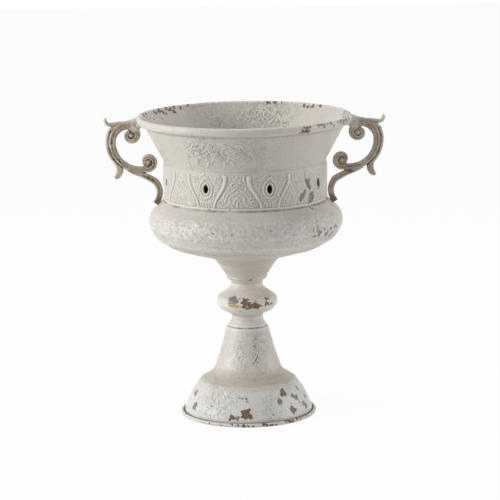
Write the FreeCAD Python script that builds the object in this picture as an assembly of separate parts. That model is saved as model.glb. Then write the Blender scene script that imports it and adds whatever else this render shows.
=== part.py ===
import FreeCAD, Part
import math
import os

from FreeCAD import Vector

# Footed iron urn planter: spun sheet shells stacked on a tie rod, a pressed and
# pierced band, and two cast scroll handles. Millimetres, +Z up, origin at the
# centre of the base on the floor, handles along X.

# Sheet and laps
WALL = 1.2                # spun shells
BAND_WALL = 1.0           # pressed band
LAP_CLEARANCE = 0.15      # between an inner lip and the ring around it
BOWL_LAP = 6.0            # depth of the lips inside the band
KNOP_LAP = 2.4            # depth of the lip inside the upper knop

# Foot
FOOT_HEIGHT = 118.0
FOOT_TOP_RADIUS = 27.6
FOOT_TOP_BEND = 2.5
FOOT_WAIST_RADIUS = 35.0
FOOT_WAIST_Z = 88.5
FOOT_WAIST_BEND = 250.0
FOOT_NECK_RADIUS = 46.0
FOOT_NECK_Z = 56.3
FOOT_NECK_BEND = 18.0
FOOT_SHOULDER_INSET = 26.8   # from the base's outside in to the shoulder
FOOT_SHOULDER_Z = 46.2
FOOT_SHOULDER_BEND = 6.0
FOOT_DOME_INSET = 14.8
FOOT_DOME_Z = 28.5
FOOT_DOME_BEND = 60.0
BASE_RADIUS = 90.3        # outside of the rolled edge
BASE_BEAD = 3.5           # radius of the rolled edge
BASE_FLAT = 0.4           # worn flat under the rolled edge
BASE_GROOVE = 1.0         # from the bead's crown in to the groove beside it
BASE_GROOVE_BEND = 0.8
BASE_CURL_TURN = 285.0    # degrees

# Knop
KNOP_RADIUS = 40.2
NECK_RADIUS = 20.8
KNOP_LOWER_HEIGHT = 32.6
KNOP_UPPER_HEIGHT = 31.4
KNOP_EDGE_UP = 7.9        # from the seam up to the corner of the upper half
KNOP_EDGE_DOWN = 2.8      # from the seam down to the corner of the lower half
KNOP_UPPER_NECK = 4.2     # straight neck above the knop
KNOP_LOWER_NECK = 6.45    # straight neck below the knop
KNOP_EDGE_BEND = 4.0      # under the seam
KNOP_DOME_BEND = 12.0     # over the seam
KNOP_NECK_BEND = 4.5
LOWER_END_RADIUS = 26.4
LOWER_END_FLARE = 8.8
UPPER_END_RADIUS = 25.2
UPPER_END_FLARE = 6.0
END_BEND = 1.6

# Funnel
FUNNEL_HEIGHT = 30.0
FUNNEL_FOOT_RADIUS = 26.4
FUNNEL_MID_RADIUS = 36.5
FUNNEL_MID_Z = 18.8       # above the funnel's foot
FUNNEL_TOP_RADIUS = 44.6
FUNNEL_FLANGE = 3.4
FUNNEL_MID_BEND = 60.0
FUNNEL_TOP_BEND = 3.0

# Belly
BELLY_HEIGHT = 77.0       # from its floor to the band
BELLY_BULGE = 20.6        # how far the belly stands out beyond the band
BELLY_FLOOR_RADIUS = 50.0
BELLY_FLOOR_BEND = 12.0
BELLY_KEEL_INSET = 27.6   # from the belly's outside
BELLY_KEEL_Z = 15.5       # above the floor
BELLY_KEEL_BEND = 30.0
BELLY_TURN_INSET = 9.0
BELLY_TURN_Z = 27.5
BELLY_TURN_BEND = 14.0
BELLY_WAIST_Z = 43.5
BELLY_WAIST_BEND = 12.0
BELLY_SHOULDER_Z = 59.5
BELLY_SHOULDER_BEND = 24.0
BELLY_LEDGE = 0.3         # ledge left outside the band's lower edge

# Band and its relief
BAND_RADIUS = 107.0
BAND_HEIGHT = 50.5
MOTIF_COUNT = 8
MOTIF_START = 16.9        # degrees from the front towards the right handle
RELIEF = 0.9
OVAL_Z = 27.9             # above the band's lower edge
EYE_WIDTH = 6.6
EYE_HEIGHT = 10.8
EYE_LIP = 2.2
OVAL_WIDTH = 18.6
OVAL_HEIGHT = 24.0
OVAL_RING = 2.2
RIB_FOOT_OFFSET = 11.5    # from the motif's middle to a rib's foot
RIB_TOP_OFFSET = 26.8
RIB_FOOT_WIDTH = 3.5
RIB_TOP_WIDTH = 5.5
RIB_TOP_INSET = 4.5       # top of the ribs below the band's upper edge
RIB_SWAY = 2.0            # how far the S of a rib swings off its chord
EDGE_BEAD = 1.1           # radius of the bead along the band's lower edge
EDGE_BEAD_INSET = 2.7

# Collar
COLLAR_HEIGHT = 60.5
COLLAR_NECK = 2.5         # straight part above the band
COLLAR_NECK_BEND = 5.0
RIM_FLARE = 34.4          # outside of the rolled rim beyond the band
RIM_BEAD = 3.4
RIM_CURL_TURN = 275.0     # degrees
WIRE_CLEARANCE = 0.3

# Tie rod, nuts and washers
ROD_DIAMETER = 8.0
ROD_CLEARANCE = 0.25
ROD_STANDOUT = 5.0
NUT_ACROSS_FLATS = 13.0
NUT_HEIGHT = 6.5
WASHER_DIAMETER = 24.0
WASHER_THICKNESS = 2.0

# Handles
HANDLE_DEPTH = 10.0       # front to back
HANDLE_REACH = 32.6       # middle of the strand beyond the rim
REACH_DROP = 34.0         # below the rim, where the scroll reaches furthest
STRAND = 10.0             # in-plane thickness where the scroll reaches furthest
STRAND_TOP = 12.0         # over the upper volute
UPPER_EYE_OUT = 7.8       # eye of the upper volute beyond the rim
UPPER_EYE_DROP = 25.0     # below the rim
UPPER_VOLUTE = 9.2        # radius of the strand's middle where the volute starts
UPPER_START = 127.0       # degrees where the upper volute starts
UPPER_TURN = 300.0        # degrees of its turn inwards
LOWER_EYE_OUT = 20.8      # eye of the lower volute beyond the band
LOWER_EYE_DROP = 0.9      # below the band's upper edge
LOWER_VOLUTE = 9.8
LOWER_START = -76.0       # degrees
LOWER_TURN = -310.0       # degrees
VOLUTE_END = 3.6          # radius at which a volute's strand ends
VOLUTE_STRAND = 7.4       # thickness where a volute starts
VOLUTE_TIP = 4.2          # thickness at a volute's end
SCROLL_TOP = (2.8, 13.1)  # top of the scroll from the upper eye
SCROLL_LOW = (10.8, -9.1) # lowest point of the scroll from the lower eye
TAIL_SIDE = 6.0           # thickness of the tail beside the band
TAIL_DEPTH = 8.4
TAIL_GAP = 0.3            # between the tail and the bead on the band
LEAF = 4.6                # thickness of the leaf along the scroll's back
LEAF_DEPTH = 7.0
LEAF_SUNK = 0.9           # how far the leaf lies in the scroll's back
BUD_DEPTH = 8.0
HOOK = 5.4                # thickness of the hook over the rim
OVAL_POINTS = 12          # points on a section of the casting

# Middle lines of the handle's branches: out, up, thickness
TAIL_ROOT = ((21.0, 4.0, 4.2), (9.5, -3.6, 5.3), (-3.0, -7.4, 7.5), (-13.0, -12.2, 8.6),
             (-21.6, -17.3, 8.4))  # from the scroll's lowest point
TAIL_TOE = ((4.4, 1.5, 6.2), (9.9, -5.5, 7.5))  # from the band's lower edge
HORN = ((-14.0, -8.5, 3.6), (-5.0, -10.0, 5.0), (2.6, -11.2, 5.4), (6.8, -9.2, 5.0),
        (8.4, -5.0, 4.2), (8.3, -2.2, 2.6))  # from the furthest point and the rim's level
BUD = ((-3.6, -6.5, 9.2), (-2.4, -12.0, 8.5), (0.8, -15.9, 7.0), (3.6, -17.2, 3.6))  # from the leaf's end
LUG_DIAMETER = 7.2
LUG_DROP = 9.0            # middle of the lug below the rim, on the collar
BOSS_DIAMETER = 8.0
BOSS_HEIGHT = 6.0
BOSS_OUT = 6.4            # middle of the boss beyond the band, on the shoulder
SCREW_DIAMETER = 4.0
SCREW_CLEARANCE = 0.15
SCREW_GRIP = 5.0          # thread inside the handle
SCREW_HEAD_DIAMETER = 7.0
SCREW_HEAD_HEIGHT = 2.4
SADDLE_DIAMETER = 9.0
SADDLE_THICKNESS = 1.2

# Levels and radii of the stacked pieces
KNOP_SEAM_Z = FOOT_HEIGHT + KNOP_LOWER_HEIGHT
FUNNEL_Z = KNOP_SEAM_Z + KNOP_UPPER_HEIGHT
BELLY_Z = FUNNEL_Z + FUNNEL_HEIGHT
BAND_Z = BELLY_Z + BELLY_HEIGHT
COLLAR_Z = BAND_Z + BAND_HEIGHT
RIM_Z = COLLAR_Z + COLLAR_HEIGHT
RIM_RADIUS = BAND_RADIUS + RIM_FLARE
BELLY_RADIUS = BAND_RADIUS + BELLY_BULGE
ROD_HOLE_RADIUS = ROD_DIAMETER / 2 + ROD_CLEARANCE
LIP_RADIUS = BAND_RADIUS - BAND_WALL - LAP_CLEARANCE
AXIS = Vector(0, 0, 1)
CENTRE = Vector(0, 0, 0)


# A sheet's face is a row of corners (radius, height, bend radius). The sheet lies
# on one side of it: +1 to the right of the way it runs, -1 to the left.

def unit(a, b):
    length = math.hypot(b[0] - a[0], b[1] - a[1])
    return ((b[0] - a[0]) / length, (b[1] - a[1]) / length)


def right_of(direction):
    return (direction[1], -direction[0])


def shifted(corners, wall, side):
    """The row of corners of the sheet's other face."""
    ways = [unit(a, b) for a, b in zip(corners, corners[1:])]
    ways = [ways[0]] + ways + [ways[-1]]
    moved = []
    for (r, z, bend), before, after in zip(corners, ways, ways[1:]):
        n1 = right_of(before)
        n2 = right_of(after)
        grow = side * wall / (1 + n1[0] * n2[0] + n1[1] * n2[1])
        turn = before[0] * after[1] - before[1] * after[0]
        new_bend = bend + wall * side * math.copysign(1, turn) if bend else 0
        moved.append((r + grow * (n1[0] + n2[0]), z + grow * (n1[1] + n2[1]), max(new_bend, 0)))
    return moved


def point(r, z):
    return Vector(r, 0, z)


def bent_edges(corners):
    """Straight runs and tangent arcs along a row of corners."""
    edges = []
    at = corners[0]
    for before, corner, after in zip(corners, corners[1:], corners[2:]):
        d1 = unit(before, corner)
        d2 = unit(corner, after)
        half = math.acos(max(-1, min(1, d1[0] * d2[0] + d1[1] * d2[1]))) / 2
        bend = corner[2]
        if bend == 0:
            edges.append(Part.makeLine(point(*at[:2]), point(*corner[:2])))
            at = corner
            continue
        run = bend * math.tan(half)
        start = (corner[0] - d1[0] * run, corner[1] - d1[1] * run)
        end = (corner[0] + d2[0] * run, corner[1] + d2[1] * run)
        inward = unit((0, 0), (d2[0] - d1[0], d2[1] - d1[1]))
        rise = bend / math.cos(half) - bend
        middle = (corner[0] + inward[0] * rise, corner[1] + inward[1] * rise)
        edges.append(Part.makeLine(point(*at[:2]), point(*start)))
        edges.append(Part.Arc(point(*start), point(*middle), point(*end)).toShape())
        at = end
    edges.append(Part.makeLine(point(*at[:2]), point(*corners[-1][:2])))
    return edges


def curl_edge(centre, start, turn):
    """Arc round the centre from the start point, clockwise by the turn in degrees."""
    radius = math.hypot(start[0] - centre[0], start[1] - centre[1])
    first = math.atan2(start[1] - centre[1], start[0] - centre[0])
    spots = []
    for share in (0, 0.5, 1):
        angle = first - math.radians(turn) * share
        spots.append(point(centre[0] + radius * math.cos(angle), centre[1] + radius * math.sin(angle)))
    return Part.Arc(*spots).toShape()


def spun(corners, wall, side, curl_centre=None, curl_turn=0):
    """A sheet shell turned about the axis, with a rolled edge at its end if asked for."""
    back = shifted(corners, wall, side)
    faces = []
    for row in (corners, back):
        edges = bent_edges(row)
        if curl_centre:
            edges.append(curl_edge(curl_centre, row[-1][:2], curl_turn))
        faces.append(edges)
    ends = [[face[0].firstVertex().Point, face[-1].lastVertex().Point] for face in faces]
    caps = [Part.makeLine(ends[0][k], ends[1][k]) for k in (0, 1)]
    wire = Part.Wire(Part.__sortEdges__(faces[0] + faces[1] + caps))
    return Part.Face(wire).revolve(CENTRE, AXIS, 360)


def filled(corners):
    """The solid of revolution between a row of corners and the axis."""
    first = corners[0]
    last = corners[-1]
    edges = bent_edges(corners)
    for a, b in (((0, first[1]), first[:2]), (last[:2], (0, last[1])), ((0, last[1]), (0, first[1]))):
        if math.dist(a, b) > 1e-6:
            edges.append(Part.makeLine(point(*a), point(*b)))
    return Part.Face(Part.Wire(Part.__sortEdges__(edges))).revolve(CENTRE, AXIS, 360)


def ring(outer, inner, height, z):
    solid = Part.makeCylinder(outer, height, Vector(0, 0, z))
    return solid.cut(Part.makeCylinder(inner, height, Vector(0, 0, z)))


# Outlines of the shells, each along its visible face

def foot_corners():
    crown_z = 2 * BASE_BEAD - BASE_FLAT
    crown_radius = BASE_RADIUS - BASE_BEAD
    return [
        (ROD_HOLE_RADIUS, FOOT_HEIGHT, 0),
        (FOOT_TOP_RADIUS, FOOT_HEIGHT, FOOT_TOP_BEND),
        (FOOT_WAIST_RADIUS, FOOT_WAIST_Z, FOOT_WAIST_BEND),
        (FOOT_NECK_RADIUS, FOOT_NECK_Z, FOOT_NECK_BEND),
        (BASE_RADIUS - FOOT_SHOULDER_INSET, FOOT_SHOULDER_Z, FOOT_SHOULDER_BEND),
        (BASE_RADIUS - FOOT_DOME_INSET, FOOT_DOME_Z, FOOT_DOME_BEND),
        (crown_radius - BASE_GROOVE, crown_z, BASE_GROOVE_BEND),
        (crown_radius, crown_z, 0),
    ]


def knop_lower_corners():
    edge_z = KNOP_SEAM_Z - KNOP_EDGE_DOWN
    neck_foot_z = FOOT_HEIGHT + LOWER_END_FLARE
    lip = KNOP_RADIUS - WALL - LAP_CLEARANCE
    return [
        (lip, KNOP_SEAM_Z + KNOP_LAP, 0),
        (lip, KNOP_SEAM_Z, 0),
        (KNOP_RADIUS, KNOP_SEAM_Z, 0),
        (KNOP_RADIUS, edge_z, KNOP_EDGE_BEND),
        (NECK_RADIUS, neck_foot_z + KNOP_LOWER_NECK, KNOP_NECK_BEND),
        (NECK_RADIUS, neck_foot_z, KNOP_NECK_BEND),
        (LOWER_END_RADIUS, FOOT_HEIGHT, END_BEND),
        (ROD_HOLE_RADIUS, FOOT_HEIGHT, 0),
    ]


def knop_upper_corners():
    edge_z = KNOP_SEAM_Z + KNOP_EDGE_UP
    neck_top_z = FUNNEL_Z - UPPER_END_FLARE
    return [
        (KNOP_RADIUS, KNOP_SEAM_Z, 0),
        (KNOP_RADIUS, edge_z, KNOP_DOME_BEND),
        (NECK_RADIUS, neck_top_z - KNOP_UPPER_NECK, KNOP_NECK_BEND),
        (NECK_RADIUS, neck_top_z, KNOP_NECK_BEND),
        (UPPER_END_RADIUS, FUNNEL_Z, END_BEND),
        (ROD_HOLE_RADIUS, FUNNEL_Z, 0),
    ]


def funnel_corners():
    flange_z = BELLY_Z - WALL
    return [
        (ROD_HOLE_RADIUS, FUNNEL_Z, 0),
        (FUNNEL_FOOT_RADIUS, FUNNEL_Z, END_BEND),
        (FUNNEL_MID_RADIUS, FUNNEL_Z + FUNNEL_MID_Z, FUNNEL_MID_BEND),
        (FUNNEL_TOP_RADIUS, flange_z, FUNNEL_TOP_BEND),
        (FUNNEL_TOP_RADIUS + FUNNEL_FLANGE, flange_z, 0),
    ]


def belly_corners():
    return [
        (LIP_RADIUS, BAND_Z + BOWL_LAP, 0),
        (LIP_RADIUS, BAND_Z, 0),
        (BAND_RADIUS + BELLY_LEDGE, BAND_Z, 0),
        (BELLY_RADIUS, BELLY_Z + BELLY_SHOULDER_Z, BELLY_SHOULDER_BEND),
        (BELLY_RADIUS, BELLY_Z + BELLY_WAIST_Z, BELLY_WAIST_BEND),
        (BELLY_RADIUS - BELLY_TURN_INSET, BELLY_Z + BELLY_TURN_Z, BELLY_TURN_BEND),
        (BELLY_RADIUS - BELLY_KEEL_INSET, BELLY_Z + BELLY_KEEL_Z, BELLY_KEEL_BEND),
        (BELLY_FLOOR_RADIUS, BELLY_Z, BELLY_FLOOR_BEND),
        (ROD_HOLE_RADIUS, BELLY_Z, 0),
    ]


def rim_centre():
    return (RIM_RADIUS - RIM_BEAD, RIM_Z - RIM_BEAD)


def collar_corners():
    """Up the outside, ending where the cone runs into the rolled rim."""
    kink = (BAND_RADIUS, COLLAR_Z + COLLAR_NECK)
    centre = rim_centre()
    curl = RIM_BEAD - WALL
    reach = math.dist(kink, centre)
    angle = math.atan2(centre[1] - kink[1], centre[0] - kink[0]) + math.asin(curl / reach)
    run = math.sqrt(reach ** 2 - curl ** 2)
    return [
        (LIP_RADIUS, COLLAR_Z - BOWL_LAP, 0),
        (LIP_RADIUS, COLLAR_Z, 0),
        (BAND_RADIUS, COLLAR_Z, 0),
        (*kink, COLLAR_NECK_BEND),
        (kink[0] + run * math.cos(angle), kink[1] + run * math.sin(angle), 0),
    ]


# Spun shells and the wires in their rolled edges

def foot_bell():
    centre = (BASE_RADIUS - BASE_BEAD, BASE_BEAD - BASE_FLAT)
    bell = spun(foot_corners(), WALL, 1, centre, BASE_CURL_TURN)
    below = Part.makeCylinder(2 * BASE_RADIUS, BASE_BEAD, Vector(0, 0, -BASE_BEAD))
    return bell.cut(below)


def base_wire():
    radius = BASE_BEAD - WALL - WIRE_CLEARANCE
    return Part.makeTorus(BASE_RADIUS - BASE_BEAD, radius, Vector(0, 0, BASE_BEAD - BASE_FLAT))


def rim_wire():
    radius = RIM_BEAD - WALL - WIRE_CLEARANCE
    return Part.makeTorus(rim_centre()[0], radius, Vector(0, 0, rim_centre()[1]))


# Ornament band: ovals with a pierced eye, between ribs that lean like an S

def ellipse_prism(width, height, z):
    """An upright oval through the band's front, drawn square to the -Y side."""
    near = Vector(0, -2 * BAND_RADIUS, z)
    across = Vector(width / 2, 0, 0)
    up = Vector(0, 0, height / 2)
    oval = Part.Ellipse(near + up, near + across, near)
    return Part.Face(Part.Wire(oval.toShape())).extrude(Vector(0, 2 * BAND_RADIUS, 0))


def rib_prism():
    """One rib to the right of the motif's middle: an S that widens towards its top."""
    foot_z = BAND_Z + EDGE_BEAD_INSET
    top_z = COLLAR_Z - RIB_TOP_INSET
    sides = []
    for sign in (-1, 1):
        spots = []
        for share in (0, 0.25, 0.5, 0.75, 1):
            middle = RIB_FOOT_OFFSET + (RIB_TOP_OFFSET - RIB_FOOT_OFFSET) * share
            sway = RIB_SWAY * math.sin(2 * math.pi * share)
            half = (RIB_FOOT_WIDTH + (RIB_TOP_WIDTH - RIB_FOOT_WIDTH) * share) / 2
            z = foot_z + (top_z - foot_z) * share
            spots.append(Vector(middle - sway + sign * half, -2 * BAND_RADIUS, z))
        curve = Part.BSplineCurve()
        curve.interpolate(spots)
        sides.append((curve.toShape(), spots))
    ends = [Part.makeLine(sides[0][1][k], sides[1][1][k]) for k in (0, -1)]
    wire = Part.Wire(Part.__sortEdges__([sides[0][0], sides[1][0]] + ends))
    return Part.Face(wire).extrude(Vector(0, 2 * BAND_RADIUS, 0))


def band_sector():
    """The plain band over one motif, with a bead along its lower edge."""
    inner = BAND_RADIUS - BAND_WALL
    bead_z = BAND_Z + EDGE_BEAD_INSET
    low = point(BAND_RADIUS, bead_z - EDGE_BEAD)
    high = point(BAND_RADIUS, bead_z + EDGE_BEAD)
    bead = Part.Arc(low, point(BAND_RADIUS + EDGE_BEAD, bead_z), high).toShape()
    corners = [high, point(BAND_RADIUS, COLLAR_Z), point(inner, COLLAR_Z)]
    corners += [point(inner, BAND_Z), point(BAND_RADIUS, BAND_Z), low]
    sides = [Part.makeLine(a, b) for a, b in zip(corners, corners[1:])]
    sector = Part.Face(Part.Wire([bead] + sides)).revolve(CENTRE, AXIS, 360 / MOTIF_COUNT)
    return sector.rotated(CENTRE, AXIS, -90 - 180 / MOTIF_COUNT)


def ornament_band():
    oval_z = BAND_Z + OVAL_Z
    skin = ring(BAND_RADIUS + RELIEF, BAND_RADIUS - BAND_WALL / 2, BAND_HEIGHT, BAND_Z)
    rib = rib_prism()
    inner = ellipse_prism(OVAL_WIDTH - 2 * OVAL_RING, OVAL_HEIGHT - 2 * OVAL_RING, oval_z)
    oval = ellipse_prism(OVAL_WIDTH, OVAL_HEIGHT, oval_z).cut(inner)
    lip = ellipse_prism(EYE_WIDTH + 2 * EYE_LIP, EYE_HEIGHT + 2 * EYE_LIP, oval_z)
    shapes = (oval, lip, rib, rib.mirror(CENTRE, Vector(1, 0, 0)))
    raised = [skin.common(shape) for shape in shapes]
    motif = band_sector().fuse(raised).cut(ellipse_prism(EYE_WIDTH, EYE_HEIGHT, oval_z))
    turns = [MOTIF_START + 360 * k / MOTIF_COUNT for k in range(MOTIF_COUNT)]
    motifs = [motif.rotated(CENTRE, AXIS, turn) for turn in turns]
    return motifs[0].fuse(motifs[1:]).removeSplitter()


# Tie rod and what clamps the stack

def tie_rod():
    low = FOOT_HEIGHT - WALL - WASHER_THICKNESS - NUT_HEIGHT - ROD_STANDOUT
    high = BELLY_Z + WALL + WASHER_THICKNESS + NUT_HEIGHT + ROD_STANDOUT
    rod = Part.makeCylinder(ROD_DIAMETER / 2, high - low, Vector(0, 0, low))
    ends = [edge for edge in rod.Edges if edge.Curve.TypeId == "Part::GeomCircle"]
    return rod.makeChamfer(ROD_DIAMETER / 8, ends)


def washer(z):
    return ring(WASHER_DIAMETER / 2, ROD_HOLE_RADIUS, WASHER_THICKNESS, z)


def nut(z):
    radius = NUT_ACROSS_FLATS / math.sqrt(3)
    spots = []
    for k in range(7):
        angle = math.radians(60 * k)
        spots.append(Vector(radius * math.cos(angle), radius * math.sin(angle), z))
    block = Part.Face(Part.makePolygon(spots)).extrude(Vector(0, 0, NUT_HEIGHT))
    return block.cut(Part.makeCylinder(ROD_DIAMETER / 2, NUT_HEIGHT, Vector(0, 0, z)))


# Cast handles, drawn in the XZ plane on the right

def oval_section(x, z, way, thick, depth):
    """An oval across the way, thick in the plane of the handle and deep along Y."""
    spots = []
    for k in range(OVAL_POINTS):
        angle = 2 * math.pi * k / OVAL_POINTS
        across = thick / 2 * math.sin(angle)
        spots.append(Vector(x + way[1] * across, depth / 2 * math.cos(angle), z - way[0] * across))
    curve = Part.BSplineCurve()
    curve.interpolate(spots, PeriodicFlag=True)
    return Part.Wire(curve.toShape())


def strand(stations):
    """A tapering bar through stations (x, z, thickness, depth), oval in section."""
    sections = []
    for k, (x, z, thick, depth) in enumerate(stations):
        before = stations[max(k - 1, 0)]
        after = stations[min(k + 1, len(stations) - 1)]
        sections.append(oval_section(x, z, unit(before[:2], after[:2]), thick, depth))
    return Part.makeLoft(sections, True, False)


def branch(anchor, line, depth):
    """Stations of a branch, measured from its anchor."""
    return [(anchor[0] + out, anchor[1] + up, thick, depth) for out, up, thick in line]


def volute(eye, radius, first, turn):
    """Stations from a volute's start inwards to its end, angles in degrees."""
    stations = []
    steps = 8
    for k in range(steps + 1):
        share = k / steps
        angle = math.radians(first + turn * share)
        r = radius - (radius - VOLUTE_END) * share ** 2
        thick = VOLUTE_STRAND + (VOLUTE_TIP - VOLUTE_STRAND) * share
        stations.append((eye[0] + r * math.cos(angle), eye[1] + r * math.sin(angle), thick, HANDLE_DEPTH))
    return stations


def quarter(start, end, thick_start, thick_end, upright_first):
    """Stations inside a quarter ellipse between two points, ends left out."""
    stations = []
    for share in (0.25, 0.5, 0.75):
        turn = math.pi / 2 * share
        fast, slow = math.sin(turn), 1 - math.cos(turn)
        along_x, along_z = (slow, fast) if upright_first else (fast, slow)
        x = start[0] + (end[0] - start[0]) * along_x
        z = start[1] + (end[1] - start[1]) * along_z
        stations.append((x, z, thick_start + (thick_end - thick_start) * share, HANDLE_DEPTH))
    return stations


def scroll_points():
    """Eyes of the volutes, and the scroll's top, furthest and lowest points."""
    upper = (RIM_RADIUS + UPPER_EYE_OUT, RIM_Z - UPPER_EYE_DROP)
    lower = (BAND_RADIUS + LOWER_EYE_OUT, COLLAR_Z - LOWER_EYE_DROP)
    top = (upper[0] + SCROLL_TOP[0], upper[1] + SCROLL_TOP[1])
    far = (RIM_RADIUS + HANDLE_REACH, RIM_Z - REACH_DROP)
    low = (lower[0] + SCROLL_LOW[0], lower[1] + SCROLL_LOW[1])
    return upper, lower, top, far, low


def scroll():
    """The C of the handle, rolled into a volute at each end."""
    upper, lower, top, far, low = scroll_points()
    stations = volute(upper, UPPER_VOLUTE, UPPER_START, UPPER_TURN)[::-1]
    stations.append((*top, STRAND_TOP, HANDLE_DEPTH))
    stations += quarter(top, far, STRAND_TOP, STRAND, False)
    stations.append((*far, STRAND, HANDLE_DEPTH))
    stations += quarter(far, low, STRAND, VOLUTE_STRAND, True)
    stations.append((*low, VOLUTE_STRAND, HANDLE_DEPTH))
    stations += volute(lower, LOWER_VOLUTE, LOWER_START, LOWER_TURN)
    return strand(stations)


def eye_button(eye):
    depth = HANDLE_DEPTH - VOLUTE_END / 2
    middle = Vector(eye[0], depth / 2, eye[1])
    return Part.makeCylinder(VOLUTE_END + VOLUTE_TIP / 2, depth, middle, Vector(0, -1, 0))


def tail():
    """From under the scroll down past the band, with its toe on the belly's shoulder."""
    beside = BAND_RADIUS + EDGE_BEAD + TAIL_GAP
    root = branch(scroll_points()[4], TAIL_ROOT, TAIL_DEPTH)
    toe = branch((beside, BAND_Z), TAIL_TOE, TAIL_DEPTH)
    side_z = (root[-1][1] + toe[0][1]) / 2
    return strand(root + [(beside + TAIL_SIDE / 2, side_z, TAIL_SIDE, TAIL_DEPTH)] + toe)


def leaf_parts():
    """Horn at the top, leaf along the scroll's back, and the bud at its end."""
    _, _, top, far, low = scroll_points()
    out = (STRAND + LEAF) / 2 - LEAF_SUNK
    back_top = (top[0] + out / 2, top[1] + out)
    back_far = (far[0] + out, far[1])
    back_low = (low[0], low[1] - out)
    line = quarter(back_top, back_far, LEAF, LEAF, False)[1:]
    line.append((*back_far, LEAF, LEAF_DEPTH))
    line += quarter(back_far, back_low, LEAF, LEAF, True)[:2]
    leaf = [(x, z, thick, LEAF_DEPTH) for x, z, thick, _ in line]
    end = leaf[-1]
    bud = [end] + branch(end, BUD, BUD_DEPTH)
    horn = branch((far[0], RIM_Z), HORN, LEAF_DEPTH)
    return [strand(stations) for stations in (horn, leaf, bud)]


def lug_seat():
    """Where the lug meets the collar, and the way out from there."""
    kink, end = collar_corners()[-2:]
    way = unit(kink, end)
    z = RIM_Z - LUG_DROP
    x = end[0] - (end[1] - z) * way[0] / way[1]
    out = right_of(way)
    return Vector(x, 0, z), Vector(out[0], 0, out[1])


def boss_seat():
    """Where the tail's boss meets the belly's shoulder, and the way out from there."""
    start, end = belly_corners()[2:4]
    way = unit(start, end)
    x = BAND_RADIUS + BOSS_OUT
    z = start[1] + (x - start[0]) * way[1] / way[0]
    return Vector(x, 0, z), Vector(-way[1], 0, way[0])


def rod_between(seat, out, low, high, diameter):
    """A round bar square to a seat, between two distances from it."""
    return Part.makeCylinder(diameter / 2, high - low, seat + out * low, out)


def handle_right():
    upper, lower, top, _, _ = scroll_points()
    lug = rod_between(*lug_seat(), -WALL, UPPER_EYE_OUT + RIM_BEAD, LUG_DIAMETER)
    boss = rod_between(*boss_seat(), -WALL, BOSS_HEIGHT, BOSS_DIAMETER)
    centre = rim_centre()
    halfway = ((centre[0] + top[0]) / 2, (centre[1] + top[1]) / 2)
    hook = strand([(*spot, HOOK, LEAF_DEPTH) for spot in (centre, halfway, top)])
    branches = leaf_parts() + [tail(), eye_button(upper), eye_button(lower), lug, boss, hook]
    bead = Part.makeTorus(centre[0], RIM_BEAD, Vector(0, 0, centre[1]))
    seats = (lug_seat(), boss_seat())
    holes = [rod_between(seat, way, -WALL, SCREW_GRIP, SCREW_DIAMETER) for seat, way in seats]
    shells = [filled(collar_corners()[2:]), filled(belly_corners()[2:]), bead]
    return scroll().fuse(branches).cut(shells + holes)


def handle_screw(seat, out):
    under_head = -WALL - SADDLE_THICKNESS
    shank = rod_between(seat, out, under_head, SCREW_GRIP, SCREW_DIAMETER)
    head = rod_between(seat, out, under_head - SCREW_HEAD_HEIGHT, under_head, SCREW_HEAD_DIAMETER)
    return shank.fuse(head).removeSplitter()


def saddle(seat, out, inside):
    """A washer shaped to the wall that it lies against."""
    disc = rod_between(seat, out, -WALL - SADDLE_THICKNESS, 0, SADDLE_DIAMETER)
    bore = rod_between(seat, out, -WALL - SADDLE_THICKNESS, 0, SCREW_DIAMETER + 2 * SCREW_CLEARANCE)
    return disc.cut(bore).common(inside)


def both_sides(shape):
    return [shape, shape.mirror(CENTRE, Vector(1, 0, 0))]


def drilled(shell, seat, out):
    hole = rod_between(seat, out, -2 * WALL, WALL, SCREW_DIAMETER + 2 * SCREW_CLEARANCE)
    return shell.cut(both_sides(hole))


def build():
    collar_inside = filled(shifted(collar_corners(), WALL, -1)[2:])
    belly_inside = filled(shifted(belly_corners(), WALL, 1)[1:])
    collar = spun(collar_corners(), WALL, -1, rim_centre(), RIM_CURL_TURN)
    belly = spun(belly_corners(), WALL, 1)
    right = handle_right()
    screws = [handle_screw(*lug_seat()), handle_screw(*boss_seat())]
    saddles = [saddle(*lug_seat(), collar_inside), saddle(*boss_seat(), belly_inside)]
    return {
        "rim_collar": [drilled(collar, *lug_seat())],
        "rim_wire": [rim_wire()],
        "ornament_band": [ornament_band()],
        "belly_bowl": [drilled(belly, *boss_seat())],
        "stem_funnel": [spun(funnel_corners(), WALL, -1)],
        "knop_upper": [spun(knop_upper_corners(), WALL, -1)],
        "knop_lower": [spun(knop_lower_corners(), WALL, 1)],
        "foot_bell": [foot_bell()],
        "base_wire": [base_wire()],
        "tie_rod": [tie_rod()],
        "top_washer": [washer(BELLY_Z + WALL)],
        "top_nut": [nut(BELLY_Z + WALL + WASHER_THICKNESS)],
        "bottom_washer": [washer(FOOT_HEIGHT - WALL - WASHER_THICKNESS)],
        "bottom_nut": [nut(FOOT_HEIGHT - WALL - WASHER_THICKNESS - NUT_HEIGHT)],
        "handle_right": [right],
        "handle_left": [right.mirror(CENTRE, Vector(1, 0, 0))],
        "handle_screws": sum((both_sides(screw) for screw in screws), []),
        "handle_washers": sum((both_sides(washer_shape) for washer_shape in saddles), []),
    }


os.makedirs("parts", exist_ok=True)
for name, shapes in build().items():
    solids = sum((shape.Solids for shape in shapes), [])
    node = solids[0] if len(solids) == 1 else Part.makeCompound(solids)
    node.exportStep("parts/" + name + ".step")
    print(name, len(solids), "solids, valid", node.isValid(), "volume", round(node.Volume, 1))
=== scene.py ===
import math

import bpy
import numpy as np
from mathutils import Matrix, Vector


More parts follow.
